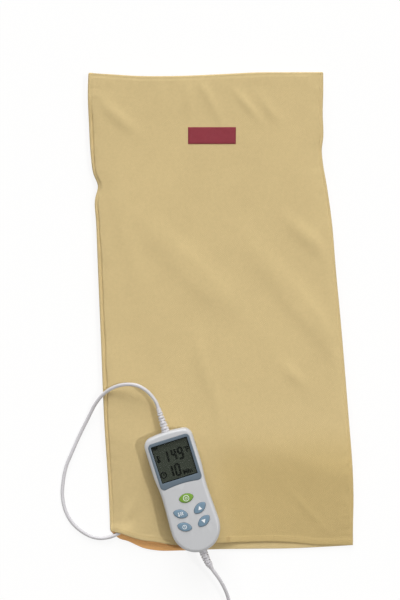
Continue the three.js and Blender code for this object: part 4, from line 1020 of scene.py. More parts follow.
def hemStitches():
    inset = cover["hemBand"] - cover["hemStitch"]
    x = np.linspace(*hemThread["span"]) * cover["halfWidth"]
    y = hemEdge(x, "frontHem") + inset
    front = np.stack([x, y, frontTop(x, y) + hemThread["proud"]], -1)
    under = np.full_like(x, cover["backTop"] + hemThread["backProud"])
    back = np.stack([x, hemEdge(x, "backHem") + inset, under], -1)
    rows = []
    for step, place in enumerate(tack["x"] + np.array(tack["runs"])):
        run = np.linspace(tack["start"], cover["hemBand"] + tack["beyond"], tack["points"])
        run = run if step % 2 == 0 else run[::-1]
        x = np.full_like(run, place)
        y = hemEdge(x, "frontHem") + run
        rows.append(np.stack([x, y, frontTop(x, y) + tackThread["proud"]], -1))
    sewn = {"frontHemStitches": (front, hemThread), "backHemStitches": (back, hemThread)}
    sewn["hemTack"] = (np.vstack(rows), tackThread)
    return [stitchRow(name, *row, "flannel", finishes["hemThread"]) for name, row in sewn.items()]


label = {
    "width": 68.0,
    "depth": 24.0,
    "thickness": 0.5,
    "lift": 0.25,
    "turn": -3.16,
    "place": (0.009, 0.711),
    "grid": (61, 25),
    "stitchInset": 1.5,
    "stitchSink": {"depth": 0.3, "width": 0.6},
    "waves": (0.16, 7, 41),
    "edgeSink": {"depth": 0.35, "width": 0.5},
}


def onLabel(u, v):
    # a point u, v in mm from the label's middle, laid on the front cloth
    return turnedAt(*onCover(*label["place"]), u, v, label["turn"])


def coverLabel():
    across, along = np.meshgrid(*(np.linspace(-0.5, 0.5, count) for count in label["grid"]))
    u, v = across * label["width"], along * label["depth"]
    x, y = onLabel(u, v)
    edge = np.minimum(label["width"] / 2 - np.abs(u), label["depth"] / 2 - np.abs(v))
    sewn, rim = label["stitchSink"], label["edgeSink"]
    tuck = -sewn["depth"] * dent(edge - label["stitchInset"], sewn["width"]) + waves(u, v, *label["waves"])
    top = frontTop(x, y) + label["lift"] + label["thickness"] + tuck
    top = top - rim["depth"] * np.exp(-edge / rim["width"])
    uv = np.stack([u, v], -1)
    piece = thinSheet("coverLabel", x, y, top, uv, label["thickness"] + label["lift"])
    dress(piece, "cover", "label", finishes["label"], ["cover_label"])
    halfU, halfV = label["width"] / 2 - label["stitchInset"], label["depth"] / 2 - label["stitchInset"]
    corners = [(-halfU, -halfV), (halfU, -halfV), (halfU, halfV), (-halfU, halfV), (-halfU, -halfV)]
    flat = evenly(atHeight(np.array(corners), 0.0), 1.0)
    x, y = onLabel(flat[:, 0], flat[:, 1])
    top = frontTop(x, y) + label["lift"] + label["thickness"] - labelThread["sunk"]
    path = np.stack([x, y, top], -1)
    stitchRow("labelStitches", path, labelThread, "label", finishes["labelThread"])
    return piece


coverFrontPiece = coverFront()
coverBackPiece = coverBack()
coverSeamPiece = coverSeam()
hemPieces = hemStitches()
labelPiece = coverLabel()
print("cover sewn")


# Inner pad

pad = {
    "left": -157.0,
    "right": 149.0,
    "near": -292.3,
    "far": 322.3,
    "under": 1.9,
    "rimTop": 4.6,
    "crownTop": 18.7,
    "rim": 6.0,
    "roll": 20.0,
    "mouthRoll": 60.0,
    "runs": 8,
    "wireInset": 28.0,
    "grid": (100, 190),
    "quilt": {"depth": 2.4, "width": 3.2, "from": 20, "to": 34},
    "weld": {"height": 0.22, "pitch": 2.4, "band": (0.6, 1.2, 4.6, 5.4)},
    "clear": 0.3,  # left between the envelope and the cloth over it
}


def padTop(x, y):
    # rim, roll and crown, pressed in along quilt lines between the runs of wire
    aside = np.minimum(x - pad["left"], pad["right"] - x)
    edge = np.minimum(aside, np.minimum(y - pad["near"], pad["far"] - y))
    side = rollShare(aside - pad["rim"], pad["roll"])
    end = rollShare(pad["far"] - y - pad["rim"], pad["roll"])
    end = end * rollShare(y - pad["near"] - pad["rim"], pad["mouthRoll"])
    top = pad["rimTop"] + (pad["crownTop"] - pad["rimTop"]) * side * end
    pitch = (pad["right"] - pad["left"] - 2 * pad["wireInset"]) / (pad["runs"] - 1)
    phase = (x - pad["left"] - pad["wireInset"]) / pitch
    quilt = pad["quilt"]
    fromLine = np.abs((phase % 1) - 0.5) * pitch
    top = top - quilt["depth"] * smoothRise(edge, quilt["from"], quilt["to"]) * dent(fromLine, quilt["width"])
    top = np.minimum(top, frontTop(x, y) - cover["cloth"] - pad["clear"])
    dimpleX, dimpleY = (np.sin(place * 2 * np.pi / pad["weld"]["pitch"]) for place in (x, y))
    weld, band = pad["weld"]["height"] * dimpleX * dimpleY, pad["weld"]["band"]
    return top + weld * (1 - smoothRise(edge, *band[2:])) * smoothRise(edge, *band[:2])


def closedSheet(name, x, y, top, bottom):
    # upper and lower face of one grid, joined round the rim and mapped as it lies
    rows, columns = x.shape
    count = rows * columns
    upper = gridFaces(rows, columns)
    sides = [
        np.arange(columns - 1),
        np.arange(rows - 1) * columns + columns - 1,
        (rows - 1) * columns + np.arange(columns - 1, 0, -1),
        np.arange(rows - 1, 0, -1) * columns,
    ]
    rim = np.concatenate(sides)
    after = np.roll(rim, -1)
    wall = np.stack([rim, rim + count, after + count, after], -1)
    flat = np.column_stack([x.ravel(), y.ravel()])
    heights = [np.broadcast_to(height, x.shape).ravel() for height in (top, bottom)]
    points = np.vstack([np.column_stack([flat, height]) for height in heights])
    faces = np.concatenate([upper, upper[:, ::-1] + count, wall])
    return makePiece(name, points, faces, np.vstack([flat, flat]))


def padGrid(columns, rows, inset):
    across, along = np.meshgrid(edgedLine(columns, 0.5), edgedLine(rows, 0.5))
    x = pad["left"] + inset + across * (pad["right"] - pad["left"] - 2 * inset)
    y = pad["near"] + inset + along * (pad["far"] - pad["near"] - 2 * inset)
    return x, y


batting = {
    "grid": (60, 120),
    "inset": 15.0,
    "under": 7.2,
    "below": 1.5,  # from the envelope's top
    "dips": (0.35, 8, 51),
    "edge": {"drop": 0.5, "width": 2},
}
carrier = {"grid": (40, 80), "inset": 12.0, "top": 4.15, "waves": (0.08, 12, 52), "under": 3.4}


def innerPad():
    x, y = padGrid(*pad["grid"], 0.0)
    envelope = closedSheet("padEnvelope", x, y, padTop(x, y), pad["under"])
    dress(envelope, "pad", "pad_sheet", finishes["padSheet"], ["pad_upper_sheet", "pad_lower_sheet"])

    x, y = padGrid(*batting["grid"], batting["inset"])
    edge = np.minimum(np.minimum(x - x.min(), x.max() - x), np.minimum(y - y.min(), y.max() - y))
    loft = padTop(x, y) - batting["below"] - np.abs(waves(x, y, *batting["dips"]))
    loft = loft - batting["edge"]["drop"] * np.exp(-edge / batting["edge"]["width"])
    layer = closedSheet("battingLayer", x, y, loft, batting["under"])
    dress(layer, "pad", "batting", finishes["batting"], ["batting"])

    x, y = padGrid(*carrier["grid"], carrier["inset"])
    top = carrier["top"] + waves(x, y, *carrier["waves"])
    sheet = closedSheet("heaterSheet", x, y, top, carrier["under"])
    dress(sheet, "pad", "carrier", finishes["carrier"], ["heater_carrier"])


innerPad()
print("inner pad filled")


# Gland, strain reliefs and plug

gland = {
    "left": -128.0,
    "width": 28.0,
    "depth": 12.0,
    "middle": -298.6,
    "under": 1.9,
    "height": 6.4,
    "corner": 2.2,
    "points": 40,
    # each ring: how far inside the block's sides, at its bottom or top, and mm above that
    "rings": [(0.6, 0, 0), (0, 0, 0.6), (0, 1, -1.4), (0.5, 1, -0.4), (1.6, 1, 0)],
    "noseSides": 20,
    "nose": {"start": 3.0, "pitch": 3.6, "depth": 0.35, "ribs": 4, "first": 3.2, "last": 2.95},
    "noseLine": [(2, 0, 5.1), (-9, 0, 5.1), (-18, -3.9, 4.95)],  # from the block's left face, mm
}


def cornerArcs(side, low, high, corner, count):
    # quarter circles about side, high and on round to side, low
    turn = np.linspace(0, np.pi / 2, count)
    arcs = []
    for quarter, (cx, cy) in enumerate(((side, high), (-side, high), (-side, low), (side, low))):
        angle = turn + quarter * np.pi / 2
        arcs.append(np.stack([cx + corner * np.cos(angle), cy + corner * np.sin(angle)], -1))
    return arcs


def roundedOutline(width, height, corner, count):
    # a rectangle with round corners
    rise = height / 2 - corner
    return np.vstack(cornerArcs(width / 2 - corner, -rise, rise, corner, count // 4))


def ribbing(place, ribs, first, last, turns=(0.5, 0.62, 0.88, 1.0)):
    # radius of ribs that shrink from first to last, and 0 to 1 in the rounded groove between neighbours
    taper = first + (last - first) * np.clip(place / (ribs - 1), 0, 1)
    within = place % 1
    groove = smoothRise(within, *turns[:2]) * (1 - smoothRise(within, *turns[2:]))
    return taper, groove * (place >= 0) * (place < ribs)


def ribRadius(travelled, rib):
    place = (travelled - rib["start"]) / rib["pitch"]
    taper, groove = ribbing(place, rib["ribs"], rib["first"], rib["last"])
    return taper - rib["depth"] * groove


def leadGland():
    left, count, sides = gland["left"], gland["points"], gland["noseSides"]
    rings = []
    for inset, end, more in gland["rings"]:
        flat = roundedOutline(gland["width"] - 2 * inset, gland["depth"] - 2 * inset, gland["corner"], count)
        height = gland["under"] + end * gland["height"] + more
        rings.append(atHeight(flat + [left + gland["width"] / 2, gland["middle"]], height))
    nose = bezier([(left + x, gland["middle"] + y, z) for x, y, z in gland["noseLine"]], 61)
    noseRings = sweptRings(nose, ribRadius(alongPath(nose), gland["nose"]), sides)
    parts = [(rings, loftFaces(len(rings), count)), (noseRings, loftFaces(len(nose), sides))]
    return dress(joinParts("leadGland", parts, sharp=40), "pad", "cord", finishes["cord"], ["lead_gland"])


controllerPlace = {"x": -65.04, "y": -252.43, "z": 20.9, "turn": 14.3}


def onController(points):
    # from the controller's own frame, in mm, to the part's frame
    u, v, w = np.asarray(points, float).reshape(-1, 3).T
    x, y = turnedAt(controllerPlace["x"], controllerPlace["y"], u, v, controllerPlace["turn"])
    return np.stack([x, y, w + controllerPlace["z"]], -1)


def joinOnController(name, parts, sharp):
    return joinParts(name, [(onController(points), faces) for points, faces in parts], sharp)


relief = {
    "end": 88.05,  # from the controller's middle to where a sleeve leaves the housing
    "axis": 13.0,
    "upper": 34.0,
    "lower": 28.0,
    "lowerBend": 3.84,
    "lowerDroop": 3.5,
    # the lower sleeve's line: start inside the end, then shares of its length, bend and droop
    "lowerStart": (5.3, 2.6),
    "lowerLine": [(0.6, 0.35, 0.35), (1, 1, 1)],
    "pitch": 4.0,
    "collar": 6.0,
    "upperTip": 4.1,
    "lowerTip": 5.0,
    "neckRadius": 4.6,
    "inside": 5.0,  # how far a sleeve runs on into the housing
    "endRadius": 3.35,
    "lipDepth": 0.45,
    "groove": 1.7,
    "grooveTurns": (0.48, 0.6, 0.86, 0.98),  # shares of the pitch
    "web": 1.2,
    "webEdge": (0.5, 0.8),
    "sides": 32,
    "step": 0.33,
    "neckWithin": (-1.2, -0.2),
    "closeWithin": (-0.5, 1.0),
    "lipWidth": 0.6,
}


def reliefSleeve(name, path, length, tip, node):
    # ribs joined by two webs that change sides from groove to groove, like the moulded slots
    path = evenly(path, relief["step"])
    travelled = alongPath(path) - relief["inside"]
    pitch, sides = relief["pitch"], relief["sides"]
    ribs = int((length - pitch) / pitch)
    place = travelled / pitch
    taper, groove = ribbing(place, ribs, relief["collar"], tip, relief["grooveTurns"])
    start = np.where(np.floor(place) % 2 == 0, 0.0, np.pi / 2)[:, None]
    web = smoothRise(np.abs(np.cos(fullTurn(sides)[None, :] - start)), *relief["webEdge"])
    radius = taper[:, None] - groove[:, None] * (relief["groove"] - relief["web"] * web)
    neck = smoothRise(travelled, *relief["neckWithin"])[:, None]
    radius = radius * neck + relief["neckRadius"] * (1 - neck)
    close = smoothRise(travelled, *(ribs * pitch + more for more in relief["closeWithin"]))[:, None]
    radius = radius * (1 - close) + relief["endRadius"] * close
    lip = smoothRise(travelled, length - relief["lipWidth"], length)[:, None]
    radius = radius - relief["lipDepth"] * lip
    rings = sweptRings(onController(path), radius, sides)
    piece = makePiece(name, rings, loftFaces(len(path), sides), sharp=42)
    return dress(piece, "controller", "cord", finishes["cord"], [node])


def strainReliefs():
    end, axis = relief["end"], relief["axis"]
    straight = np.array([(0, end - relief["inside"], axis), (0, end + relief["upper"], axis)])
    upper = reliefSleeve("upperRelief", straight, relief["upper"], relief["upperTip"], "upper_strain_relief")
    bend, droop, length = relief["lowerBend"], relief["lowerDroop"], relief["lower"]
    points = [(0, inside - end, axis) for inside in (*relief["lowerStart"], -relief["pitch"])]
    for on, over, down in relief["lowerLine"]:
        points.append((bend * over, -end - length * on, axis - droop * down))
    path = routeCurve(points, 0.4)
    return upper, reliefSleeve("lowerRelief", path, length, relief["lowerTip"], "lower_strain_relief")


plug = {
    "start": 82.0,
    "tail": 20.0,
    "length": 32.0,
    "width": 25.0,
    "height": 16.0,
    "axis": (-506.4, 8.0),
    "power": 3.2,
    # place along the body, share of the width and share of the height
    "shape": [
        (0, 0.62, 0.8), (0.05, 0.72, 0.9), (0.3, 0.86, 0.97), (0.55, 1.0, 1.0), (0.96, 1.0, 1.0),
        (1.0, 0.93, 0.92),
    ],
    "ridge": {"height": 0.45, "pitch": 3.2, "middle": 0.42, "reach": 0.3},
    "side": {"from": 0.75, "to": 0.95, "hollow": 0.5, "ridges": 0.9},  # where the sides are gripped
    "sleeve": {"start": 3.2, "pitch": 4.0, "depth": 1.1, "ribs": 4, "first": 5.4, "last": 4.2},
    "overlap": 3,  # how far the sleeve runs into the body
    "lip": {"length": 0.8, "radius": 3.6, "slope": 0.4},
    "sides": 64,
    "sections": 90,
    "sleeveSides": 32,
    "sleeveSections": 120,
}


def plugBody():
    # superellipse sections |y / a|^n + |z / b|^n = 1, with hollow sides that have ridges for the fingers
    start, ridge, sides = plug["start"] + plug["tail"], plug["ridge"], plug["sides"]
    x = start + plug["length"] * (0.5 - 0.5 * np.cos(np.linspace(0, np.pi, plug["sections"])))
    along = (x - start) / plug["length"]
    ridges = ridge["height"] * np.exp(-(((along - ridge["middle"]) / ridge["reach"]) ** 4))
    ridges = ridges * np.sin(2 * np.pi * (x - start) / ridge["pitch"])
    shape = np.array(plug["shape"])
    a, b = (readAt(along, shape[:, 0], shape[:, 1:]) * [plug["width"] / 2, plug["height"] / 2]).T
    c, s = np.cos(fullTurn(sides)), np.sin(fullTurn(sides))
    reach = (np.abs(c) ** plug["power"] + np.abs(s) ** plug["power"]) ** (-1 / plug["power"])
    grip, lip, into = plug["side"], plug["lip"], plug["overlap"]
    onSide = smoothRise(np.abs(c), grip["from"], grip["to"])
    pinched = a[:, None] - grip["hollow"] * onSide + ridges[:, None] * onSide * grip["ridges"]
    y = plug["axis"][0] + reach * c * pinched
    z = plug["axis"][1] + reach * s * b[:, None]
    body = (np.stack([x[:, None] * np.ones(sides), y, z], -1), loftFaces(len(x), sides))
    ends = [(place, *plug["axis"]) for place in (plug["start"], start + into)]
    tail = np.linspace(*ends, plug["sleeveSections"])
    travelled = alongPath(tail)
    radii = ribRadius(plug["tail"] + into - travelled, plug["sleeve"])
    narrow = np.minimum(radii, lip["radius"] + lip["slope"] * travelled)
    radii = np.where(travelled < lip["length"], narrow, radii)
    sleeve = (sweptRings(tail, radii, plug["sleeveSides"]), loftFaces(len(tail), plug["sleeveSides"]))
    piece = joinParts("plugBody", [body, sleeve], sharp=38)
    return dress(piece, "pad", "cord", finishes["cord"], ["plug_body"])


leadGland()
upperRelief, lowerRelief = strainReliefs()
plugPiece = plugBody()

round(alongPath(leadPath)[-1] * millimetre, 3)
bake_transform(controllerLead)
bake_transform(mainsCord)
print("cord ends fitted")


# Controller

case = {
    "length": 175.5,
    "depth": 26.0,
    "parting": 13.0,
    "headHalf": 35.1,
    "headStraight": 35.75,
    "corner": 13.0,
    "bow": 1.6,
    "waistHalf": 32.8,
    "waist": -1.25,
    "ease": 13.0,
    "lobeHalf": 34.6,
    "lobeLength": 35.5,
    "edge": 5.0,
    "crown": 0.4,
    "backEdge": 8.0,
    "points": 240,
    "lobePoints": 160,
    "cornerPoints": 80,
    "edgeSteps": 14,
    "groove": ((0.45, 0.15), (0.05, 0.5), (0, 1.4)),  # inset and distance from the parting plane
    "brow": (0.93, 0.84, 0.72, 0.56, 0.38, 0.18),  # rings over the crown, as shares of the first
    "bevel": 0.28,
    "rearBevel": 0.25,
    "screwWell": {"width": 5.4, "top": 3.1, "points": 40},
    "cutOut": 2,  # mm that the cutting prisms stand out of the housing
}


def caseOutline(count):
    # right half from the round lower end through the waist to the bowed top, then its mirror
    end, ease, bend = case["length"] / 2, case["ease"], case["corner"]
    lobeHalf, waistHalf, headHalf = case["lobeHalf"], case["waistHalf"], case["headHalf"]
    lobeY, waist, head = case["lobeLength"] - end, case["waist"], case["headStraight"]
    cornerX, cornerY = headHalf - bend, end - case["bow"] - bend
    angle = np.linspace(-np.pi / 2, 0, case["lobePoints"])
    lobe = np.stack([lobeHalf * np.cos(angle), lobeY + case["lobeLength"] * np.sin(angle)], -1)
    low, middle, high = (lobeHalf, lobeY), (waistHalf, waist), (headHalf, head)
    toWaist = bezier([low, (lobeHalf, lobeY + ease), (waistHalf, waist - ease), middle])
    toHead = bezier([middle, (waistHalf, waist + ease), (headHalf, head - ease), high])
    angle = np.linspace(0, np.pi / 2, case["cornerPoints"])
    corner = np.stack([cornerX + bend * np.cos(angle), cornerY + bend * np.sin(angle)], -1)
    bow = bezier([(cornerX, end - case["bow"]), (cornerX / 2, end), (0, end)])
    half = np.vstack([lobe, toWaist, toHead, corner, bow])
    travelled = alongPath(half)
    right = readAt(np.linspace(0, travelled[-1], count // 2 + 1), travelled, half)
    return np.vstack([right, right[1:-1][::-1] * [-1, 1]])


def insetRing(outline, inset, height):
    # each point moved square to the outline, inwards
    along = unit(np.roll(outline, -1, axis=0) - np.roll(outline, 1, axis=0))
    return atHeight(outline + inset * np.stack([-along[:, 1], along[:, 0]], -1), height)


def prism(outline, low, high):
    return np.vstack([atHeight(outline, low), atHeight(outline, high)]), loftFaces(2, len(outline))


def ovalOutline(length, depth, tilt, x, y, count=72, power=2.0):
    # |u / a|^n + |v / b|^n = 1; below 2 the ends draw out like a lens
    c, s = np.cos(fullTurn(count)), np.sin(fullTurn(count))
    u = length / 2 * np.sign(c) * np.abs(c) ** (2 / power)
    v = depth / 2 * np.sign(s) * np.abs(s) ** (2 / power)
    return np.stack(turnedAt(x, y, u, v, tilt), -1)


display = {
    "bezelWidth": 60.3,
    "bezelHeight": 67.4,
    "bezelY": 44.0,
    "bezelCorner": 6.0,
    "arch": 2.2,
    "windowWidth": 53.2,
    "windowHeight": 53.6,
    "windowY": 46.6,
    "windowCorner": 1.6,
    "cornerPoints": 26,
    "archPoints": 30,
    "windowPoints": 40,
    "base": 24.5,
    "top": 26.05,
    "panelTop": 22.1,
    # share of the way from the outline to the window, and mm below the top
    "rim": [(0, 0.45), (0.06, 0.1), (0.2, 0), (0.6, 0), (0.86, 0.08), (1, 0.35)],
    "recess": 0.3,  # room round and under the bezel
    "view": {"inside": 2, "corner": 1.5, "below": 0.1},  # the opening under the window
}

keys = [
    {"name": "power", "x": 0.0, "y": -8.8, "depth": 12.5, "tilt": 0.0, "finish": "greenKey"},
    {"name": "temperature", "x": -14.1, "y": -27.7, "depth": 11.8, "tilt": -28.0, "finish": "blueKey"},
    {"name": "timer", "x": -14.1, "y": -46.8, "depth": 11.8, "tilt": -28.0, "finish": "blueKey"},
    {"name": "up", "x": 14.1, "y": -27.7, "depth": 11.8, "tilt": 28.0, "finish": "blueKey"},
    {"name": "down", "x": 14.1, "y": -46.8, "depth": 11.8, "tilt": 28.0, "finish": "blueKey"},
]
keyShape = {
    "length": 20.4,
    "power": 1.78,
    "points": 96,
    "wellGap": (0.8, 0.7),
    "wellBottom": 22.6,
    "stem": {"width": 4.4, "low": 18.6, "high": 22.4, "points": 24},
    # share of the half axes and height: flange, wall, rounded shoulder, gentle dome
    "profile": [
        (1.14, 22.3), (1.14, 23.5), (1.0, 23.5), (1.0, 26.25), (0.985, 26.62), (0.95, 26.92),
        (0.89, 27.1), (0.78, 27.2), (0.55, 27.27), (0.28, 27.3), (0.05, 27.3),
    ],
}
screwPlaces = [(-22.0, 79.25), (22.0, 79.25), (-14.0, -70.25), (14.0, -70.25)]


def keyOutline(key, share=1.0, gap=(0.0, 0.0)):
    size = (keyShape["length"] * share + gap[0], key["depth"] * share + gap[1])
    return ovalOutline(*size, key["tilt"], key["x"], key["y"], keyShape["points"], keyShape["power"])


def bezelOutline(grow):
    corner, tall = display["bezelCorner"] + grow, display["bezelHeight"] / 2 + grow
    low, high = display["bezelY"] - tall, display["bezelY"] + tall
    side = display["bezelWidth"] / 2 + grow - corner
    arcs = cornerArcs(side, low + corner, high - corner, corner, display["cornerPoints"])
    arch = bezier([(-side, low), (0, low + 2 * display["arch"]), (side, low)], display["archPoints"])
    return np.vstack([*arcs[:3], arch[1:-1], arcs[3]])


def windowOutline(grow, corner):
    size = display["windowWidth"] + grow, display["windowHeight"] + grow
    return roundedOutline(*size, corner, display["windowPoints"]) + [0, display["windowY"]]


def settle(piece):
    # the piece's modifiers become its mesh
    bpy.context.view_layer.update()
    graph = bpy.context.evaluated_depsgraph_get()
    mesh = bpy.data.meshes.new_from_object(piece.evaluated_get(graph))
    piece.modifiers.clear()
    piece.data = mesh
    return piece


def carve(piece, cutters):
    # each cutter is (points, faces) in the controller's frame, taken away in turn
    tools = []
    for number, (points, faces) in enumerate(cutters):
        tool = makePiece(f"cutter{number}", onController(points), faces)
        cut = piece.modifiers.new(f"cut{number}", "BOOLEAN")
        cut.operation = "DIFFERENCE"
        cut.solver = "EXACT"
        cut.object = tool
        tools.append(tool)
    settle(piece)
    for tool in tools:
        bpy.data.objects.remove(tool)
    return piece


def softenEdges(piece, width, angle=38.0):
    bevel = piece.modifiers.new("softEdges", "BEVEL")
    bevel.width = width * millimetre
    bevel.segments = 2
    bevel.limit_method = "ANGLE"
    bevel.angle_limit = math.radians(angle)
    settle(piece)
    piece.data.shade_smooth()
    piece.data.set_sharp_from_angle(angle=math.radians(angle))
    piece.modifiers.new("evenNormals", "WEIGHTED_NORMAL").keep_sharp = True
    settle(piece)


def edgeRings(outline, height, radius, direction):
    # a quarter round edge, from the wall at one height inwards and up or down
    rings = []
    for t in np.linspace(0, np.pi / 2, case["edgeSteps"]):
        rise = direction * radius * math.sin(t)
        rings.append(insetRing(outline, radius * (1 - math.cos(t)), height + rise))
    return rings


def partingRings(outline, direction):
    return [insetRing(outline, inset, case["parting"] + direction * away) for inset, away in case["groove"]]


def housingPiece(name, rings, cutters, bevel, node):
    piece = makePiece(name, onController(rings), loftFaces(len(rings), case["points"]))
    carve(piece, cutters)
    softenEdges(piece, bevel)
    return dress(piece, "controller", "housing", finishes["housing"], [node])


def frontHousing():
    outline, depth, edge = caseOutline(case["points"]), case["depth"], case["edge"]
    rings = partingRings(outline, 1) + edgeRings(outline, depth - case["crown"] - edge, edge, 1)
    brow = insetRing(outline, edge, 0)[:, :2]
    rings += [atHeight(brow * share, depth - case["crown"] * share**2) for share in case["brow"]]
    recess, view, above = display["recess"], display["view"], depth + case["cutOut"]
    cutters = [prism(bezelOutline(recess), display["base"] - recess, above + 1)]
    window = windowOutline(-view["inside"], view["corner"])
    cutters.append(prism(window, display["panelTop"] - view["below"], above))
    for key in keys:
        cutters.append(prism(keyOutline(key, gap=keyShape["wellGap"]), keyShape["wellBottom"], above))
    return housingPiece("frontHousing", rings, cutters, case["bevel"], "front_shell")


def rearHousing():
    outline, well = caseOutline(case["points"]), case["screwWell"]
    rings = edgeRings(outline, case["backEdge"], case["backEdge"], -1)[::-1] + partingRings(outline, -1)[::-1]
    holes = [ovalOutline(well["width"], well["width"], 0, x, y, well["points"]) for x, y in screwPlaces]
    cutters = [prism(hole, -case["cutOut"], well["top"]) for hole in holes]
    return housingPiece("rearHousing", rings, cutters, case["rearBevel"], "rear_shell")


def displayBezel():
    # outer and inner walls joined by a face with round edges that falls away to the window
    outer, inner = bezelOutline(0), windowOutline(0, display["windowCorner"])
    centre, count = np.array([0, display["windowY"]]), len(outer)
    angle, innerAngle = (np.arctan2(*(edge - centre).T[::-1]) for edge in (outer, inner))
    order = np.argsort(innerAngle)
    wrapped = np.concatenate([innerAngle[order] + turn for turn in (-2 * np.pi, 0, 2 * np.pi)])
    inside = readAt(angle, wrapped, np.tile(inner[order], (3, 1)))
    base, top = display["base"], display["top"]
    profile = [(0, base)] + [(share, top - down) for share, down in display["rim"]] + [(1, base)]
    rings = [atHeight(outer + (inside - outer) * share, height) for share, height in profile]
    faces = gridFaces(len(rings) + 1, count, around=True) % (len(rings) * count)
    piece = makePiece("displayBezel", onController(rings), faces, sharp=50)
    return dress(piece, "controller", "bezel", finishes["bezel"], ["display_bezel"])


def keyCap(key):
    rings = [atHeight(keyOutline(key, share), height) for share, height in keyShape["profile"]]
    stem = keyShape["stem"]
    post = ovalOutline(stem["width"], stem["width"], 0, key["x"], key["y"], stem["points"])
    parts = [(rings, loftFaces(len(rings), keyShape["points"])), prism(post, stem["low"], stem["high"])]
    piece = joinOnController(key["name"] + "Key", parts, 50)
    slot = "green_key" if key["name"] == "power" else "blue_key"
    return dress(piece, key["name"] + "_key", slot, finishes[key["finish"]], [key["name"] + "_button"])


def ribbonBand(line, width, low, high, closed=False):
    # a flat printed stroke of one width along a line of points
    line = np.asarray(line, float)
    count = len(line)
    ahead = np.roll(line, -1, axis=0) - np.roll(line, 1, axis=0) if closed else np.gradient(line, axis=0)
    ahead = unit(ahead)
    side = np.stack([ahead[:, 1], -ahead[:, 0]], -1) * width / 2
    outer, inner = line + side, line - side
    rings = [atHeight(edge, z) for edge, z in ((outer, low), (outer, high), (inner, high), (inner, low))]
    faces = (gridFaces(count + 1 if closed else count, 4, around=True) % (4 * count))[:, ::-1].tolist()
    if not closed:
        faces += [[0, 1, 2, 3], [4 * count - 1, 4 * count - 2, 4 * count - 3, 4 * count - 4]]
    return np.array(rings).transpose(1, 0, 2).reshape(-1, 3), faces


def arcLine(radius, start, end, count=40, x=0.0, y=0.0):
    angle = np.radians(np.linspace(start, end, count))
    return np.stack([x + radius * np.cos(angle), y + radius * np.sin(angle)], -1)


def waveLine(place, swing, reach, often, count):
    # x = place + swing sin(often t) for t from -reach to reach
    t = np.linspace(-reach, reach, count)
    return np.stack([place + swing * np.sin(t * often), t], -1)


lettering = {"half": 0.03, "bolder": 0.045}  # half the thickness in mm, and the share that strokes grow by


def paintSign(rows, place, low, high):
    # rows of kind, numbers and stroke: rings, arcs, waves and lines are strokes, spots and fills are filled
    shapes = {"wave": waveLine, "line": np.array, "fill": np.array}
    parts = []
    for kind, numbers, width in rows:
        if kind == "text":
            parts.append(textShape(*numbers, *place, low + lettering["half"]))
            continue
        points = shapes.get(kind, arcLine)(*numbers) + place
        if kind in ("spot", "fill"):
            parts.append(prism(points, low, high))
        else:
            parts.append(ribbonBand(points, width, low, high, closed=kind == "ring"))
    return parts


keySigns = {
    "low": 27.22,
    "high": 27.37,
    "power": [
        ("ring", (3.9, 0, 351, 48), 0.75), ("arc", (1.5, 130, 410, 32), 0.6),
        ("line", ([(0, 0.3), (0, 2.1)],), 0.65),
    ],
    "timer": [("ring", (2.7, 0, 351, 40), 0.75), ("line", ([(0, 1.9), (0, 0), (1.3, -0.5)],), 0.65)],
    "temperature": [
        ("spot", (1.4, 0, 351, 28, -2.6, -1.4), 0), ("line", ([(-2.6, -1.4), (-2.6, 2.75)],), 1.1),
        ("wave", (0.5, 0.5, 2.5, 1.9, 24), 0.9), ("wave", (2.9, 0.5, 2.5, 1.9, 24), 0.9),
    ],
    "up": [("fill", ([(0, 3.1), (-3.0, -2.3), (3.0, -2.3)],), 0)],
    "down": [("fill", ([(3.0, 2.3), (-3.0, 2.3), (0, -3.1)],), 0)],
}


def keyPrint(key):
    # plain printed signs: power, heat level, clock, up and down
    parts = paintSign(keySigns[key["name"]], (key["x"], key["y"]), keySigns["low"], keySigns["high"])
    piece = joinOnController(key["name"] + "Print", parts, 30)
    return dress(piece, key["name"] + "_key", "blue_key", finishes["keyPrint"])


inkAndShadeMarks = {
    "above": (0.02, 0.12),  # lower and upper face of the ink over the panel
    "stroke": 2.8,
    "digitHeight": 15.3,
    "digitGap": 0.3,
    "slant": 0.05,
    "digits": [
        ("1", -11.8, 46.4, 4.2), ("4", -1.0, 46.3, 4.6), ("9", 8.0, 46.0, 5.6), ("1", -11.5, 24.8, 4.2),
        ("0", -2.7, 24.8, 5.7),
    ],
    # degree ring, letters, clock, thermometer and heat, each with its place
    "signs": [
        ((18.6, 59.3), [("ring", (0.95, 0, 351, 20), 0.7)]), ((22.0, 56.0), [("text", ("F", 10.4), 0)]),
        ((13.4, 26.2), [("text", ("Min", 9.0), 0)]),
        ((-20.7, 30.6), [("ring", (3.9, 0, 351, 36), 1.8), ("line", ([(0, 2.4), (0, 0), (1.9, 0)],), 1.3)]),
        ((-21.2, 51.2), [("spot", (2.5, 0, 351, 24), 0), ("line", ([(0, 0), (0, 8.2)],), 2.5)]),
        ((-21.2, 51.2), [("line", ([(1.6, rise), (3.2, rise)],), 0.8) for rise in (3.2, 5.0, 6.8)]),
        ((-21.2, 69.5), [("wave", (side, 0.45, 2.1, 2.2, 20), 1.9) for side in (-2.6, 0.0, 2.6)]),
    ],
    # painted shade: a dark ring just inside the bezel's opening, where the window's recess is shaded
    "recessShade": {"inside": 0.8, "corner": 1.8, "stroke": 1.8, "low": 0.26, "high": 0.06},
    "digitSegments": {"0": "abcdef", "1": "bc", "4": "fgbc", "9": "abcdfg"},
    # both ends of each stroke, as shares of the digit's width and height
    "segmentEnds": {
        "a": ((0, 1), (1, 1)),
        "b": ((1, 1), (1, 0.5)),
        "c": ((1, 0.5), (1, 0)),
        "d": ((0, 0), (1, 0)),
        "e": ((0, 0.5), (0, 0)),
        "f": ((0, 1), (0, 0.5)),
        "g": ((0, 0.5), (1, 0.5)),
    },
}


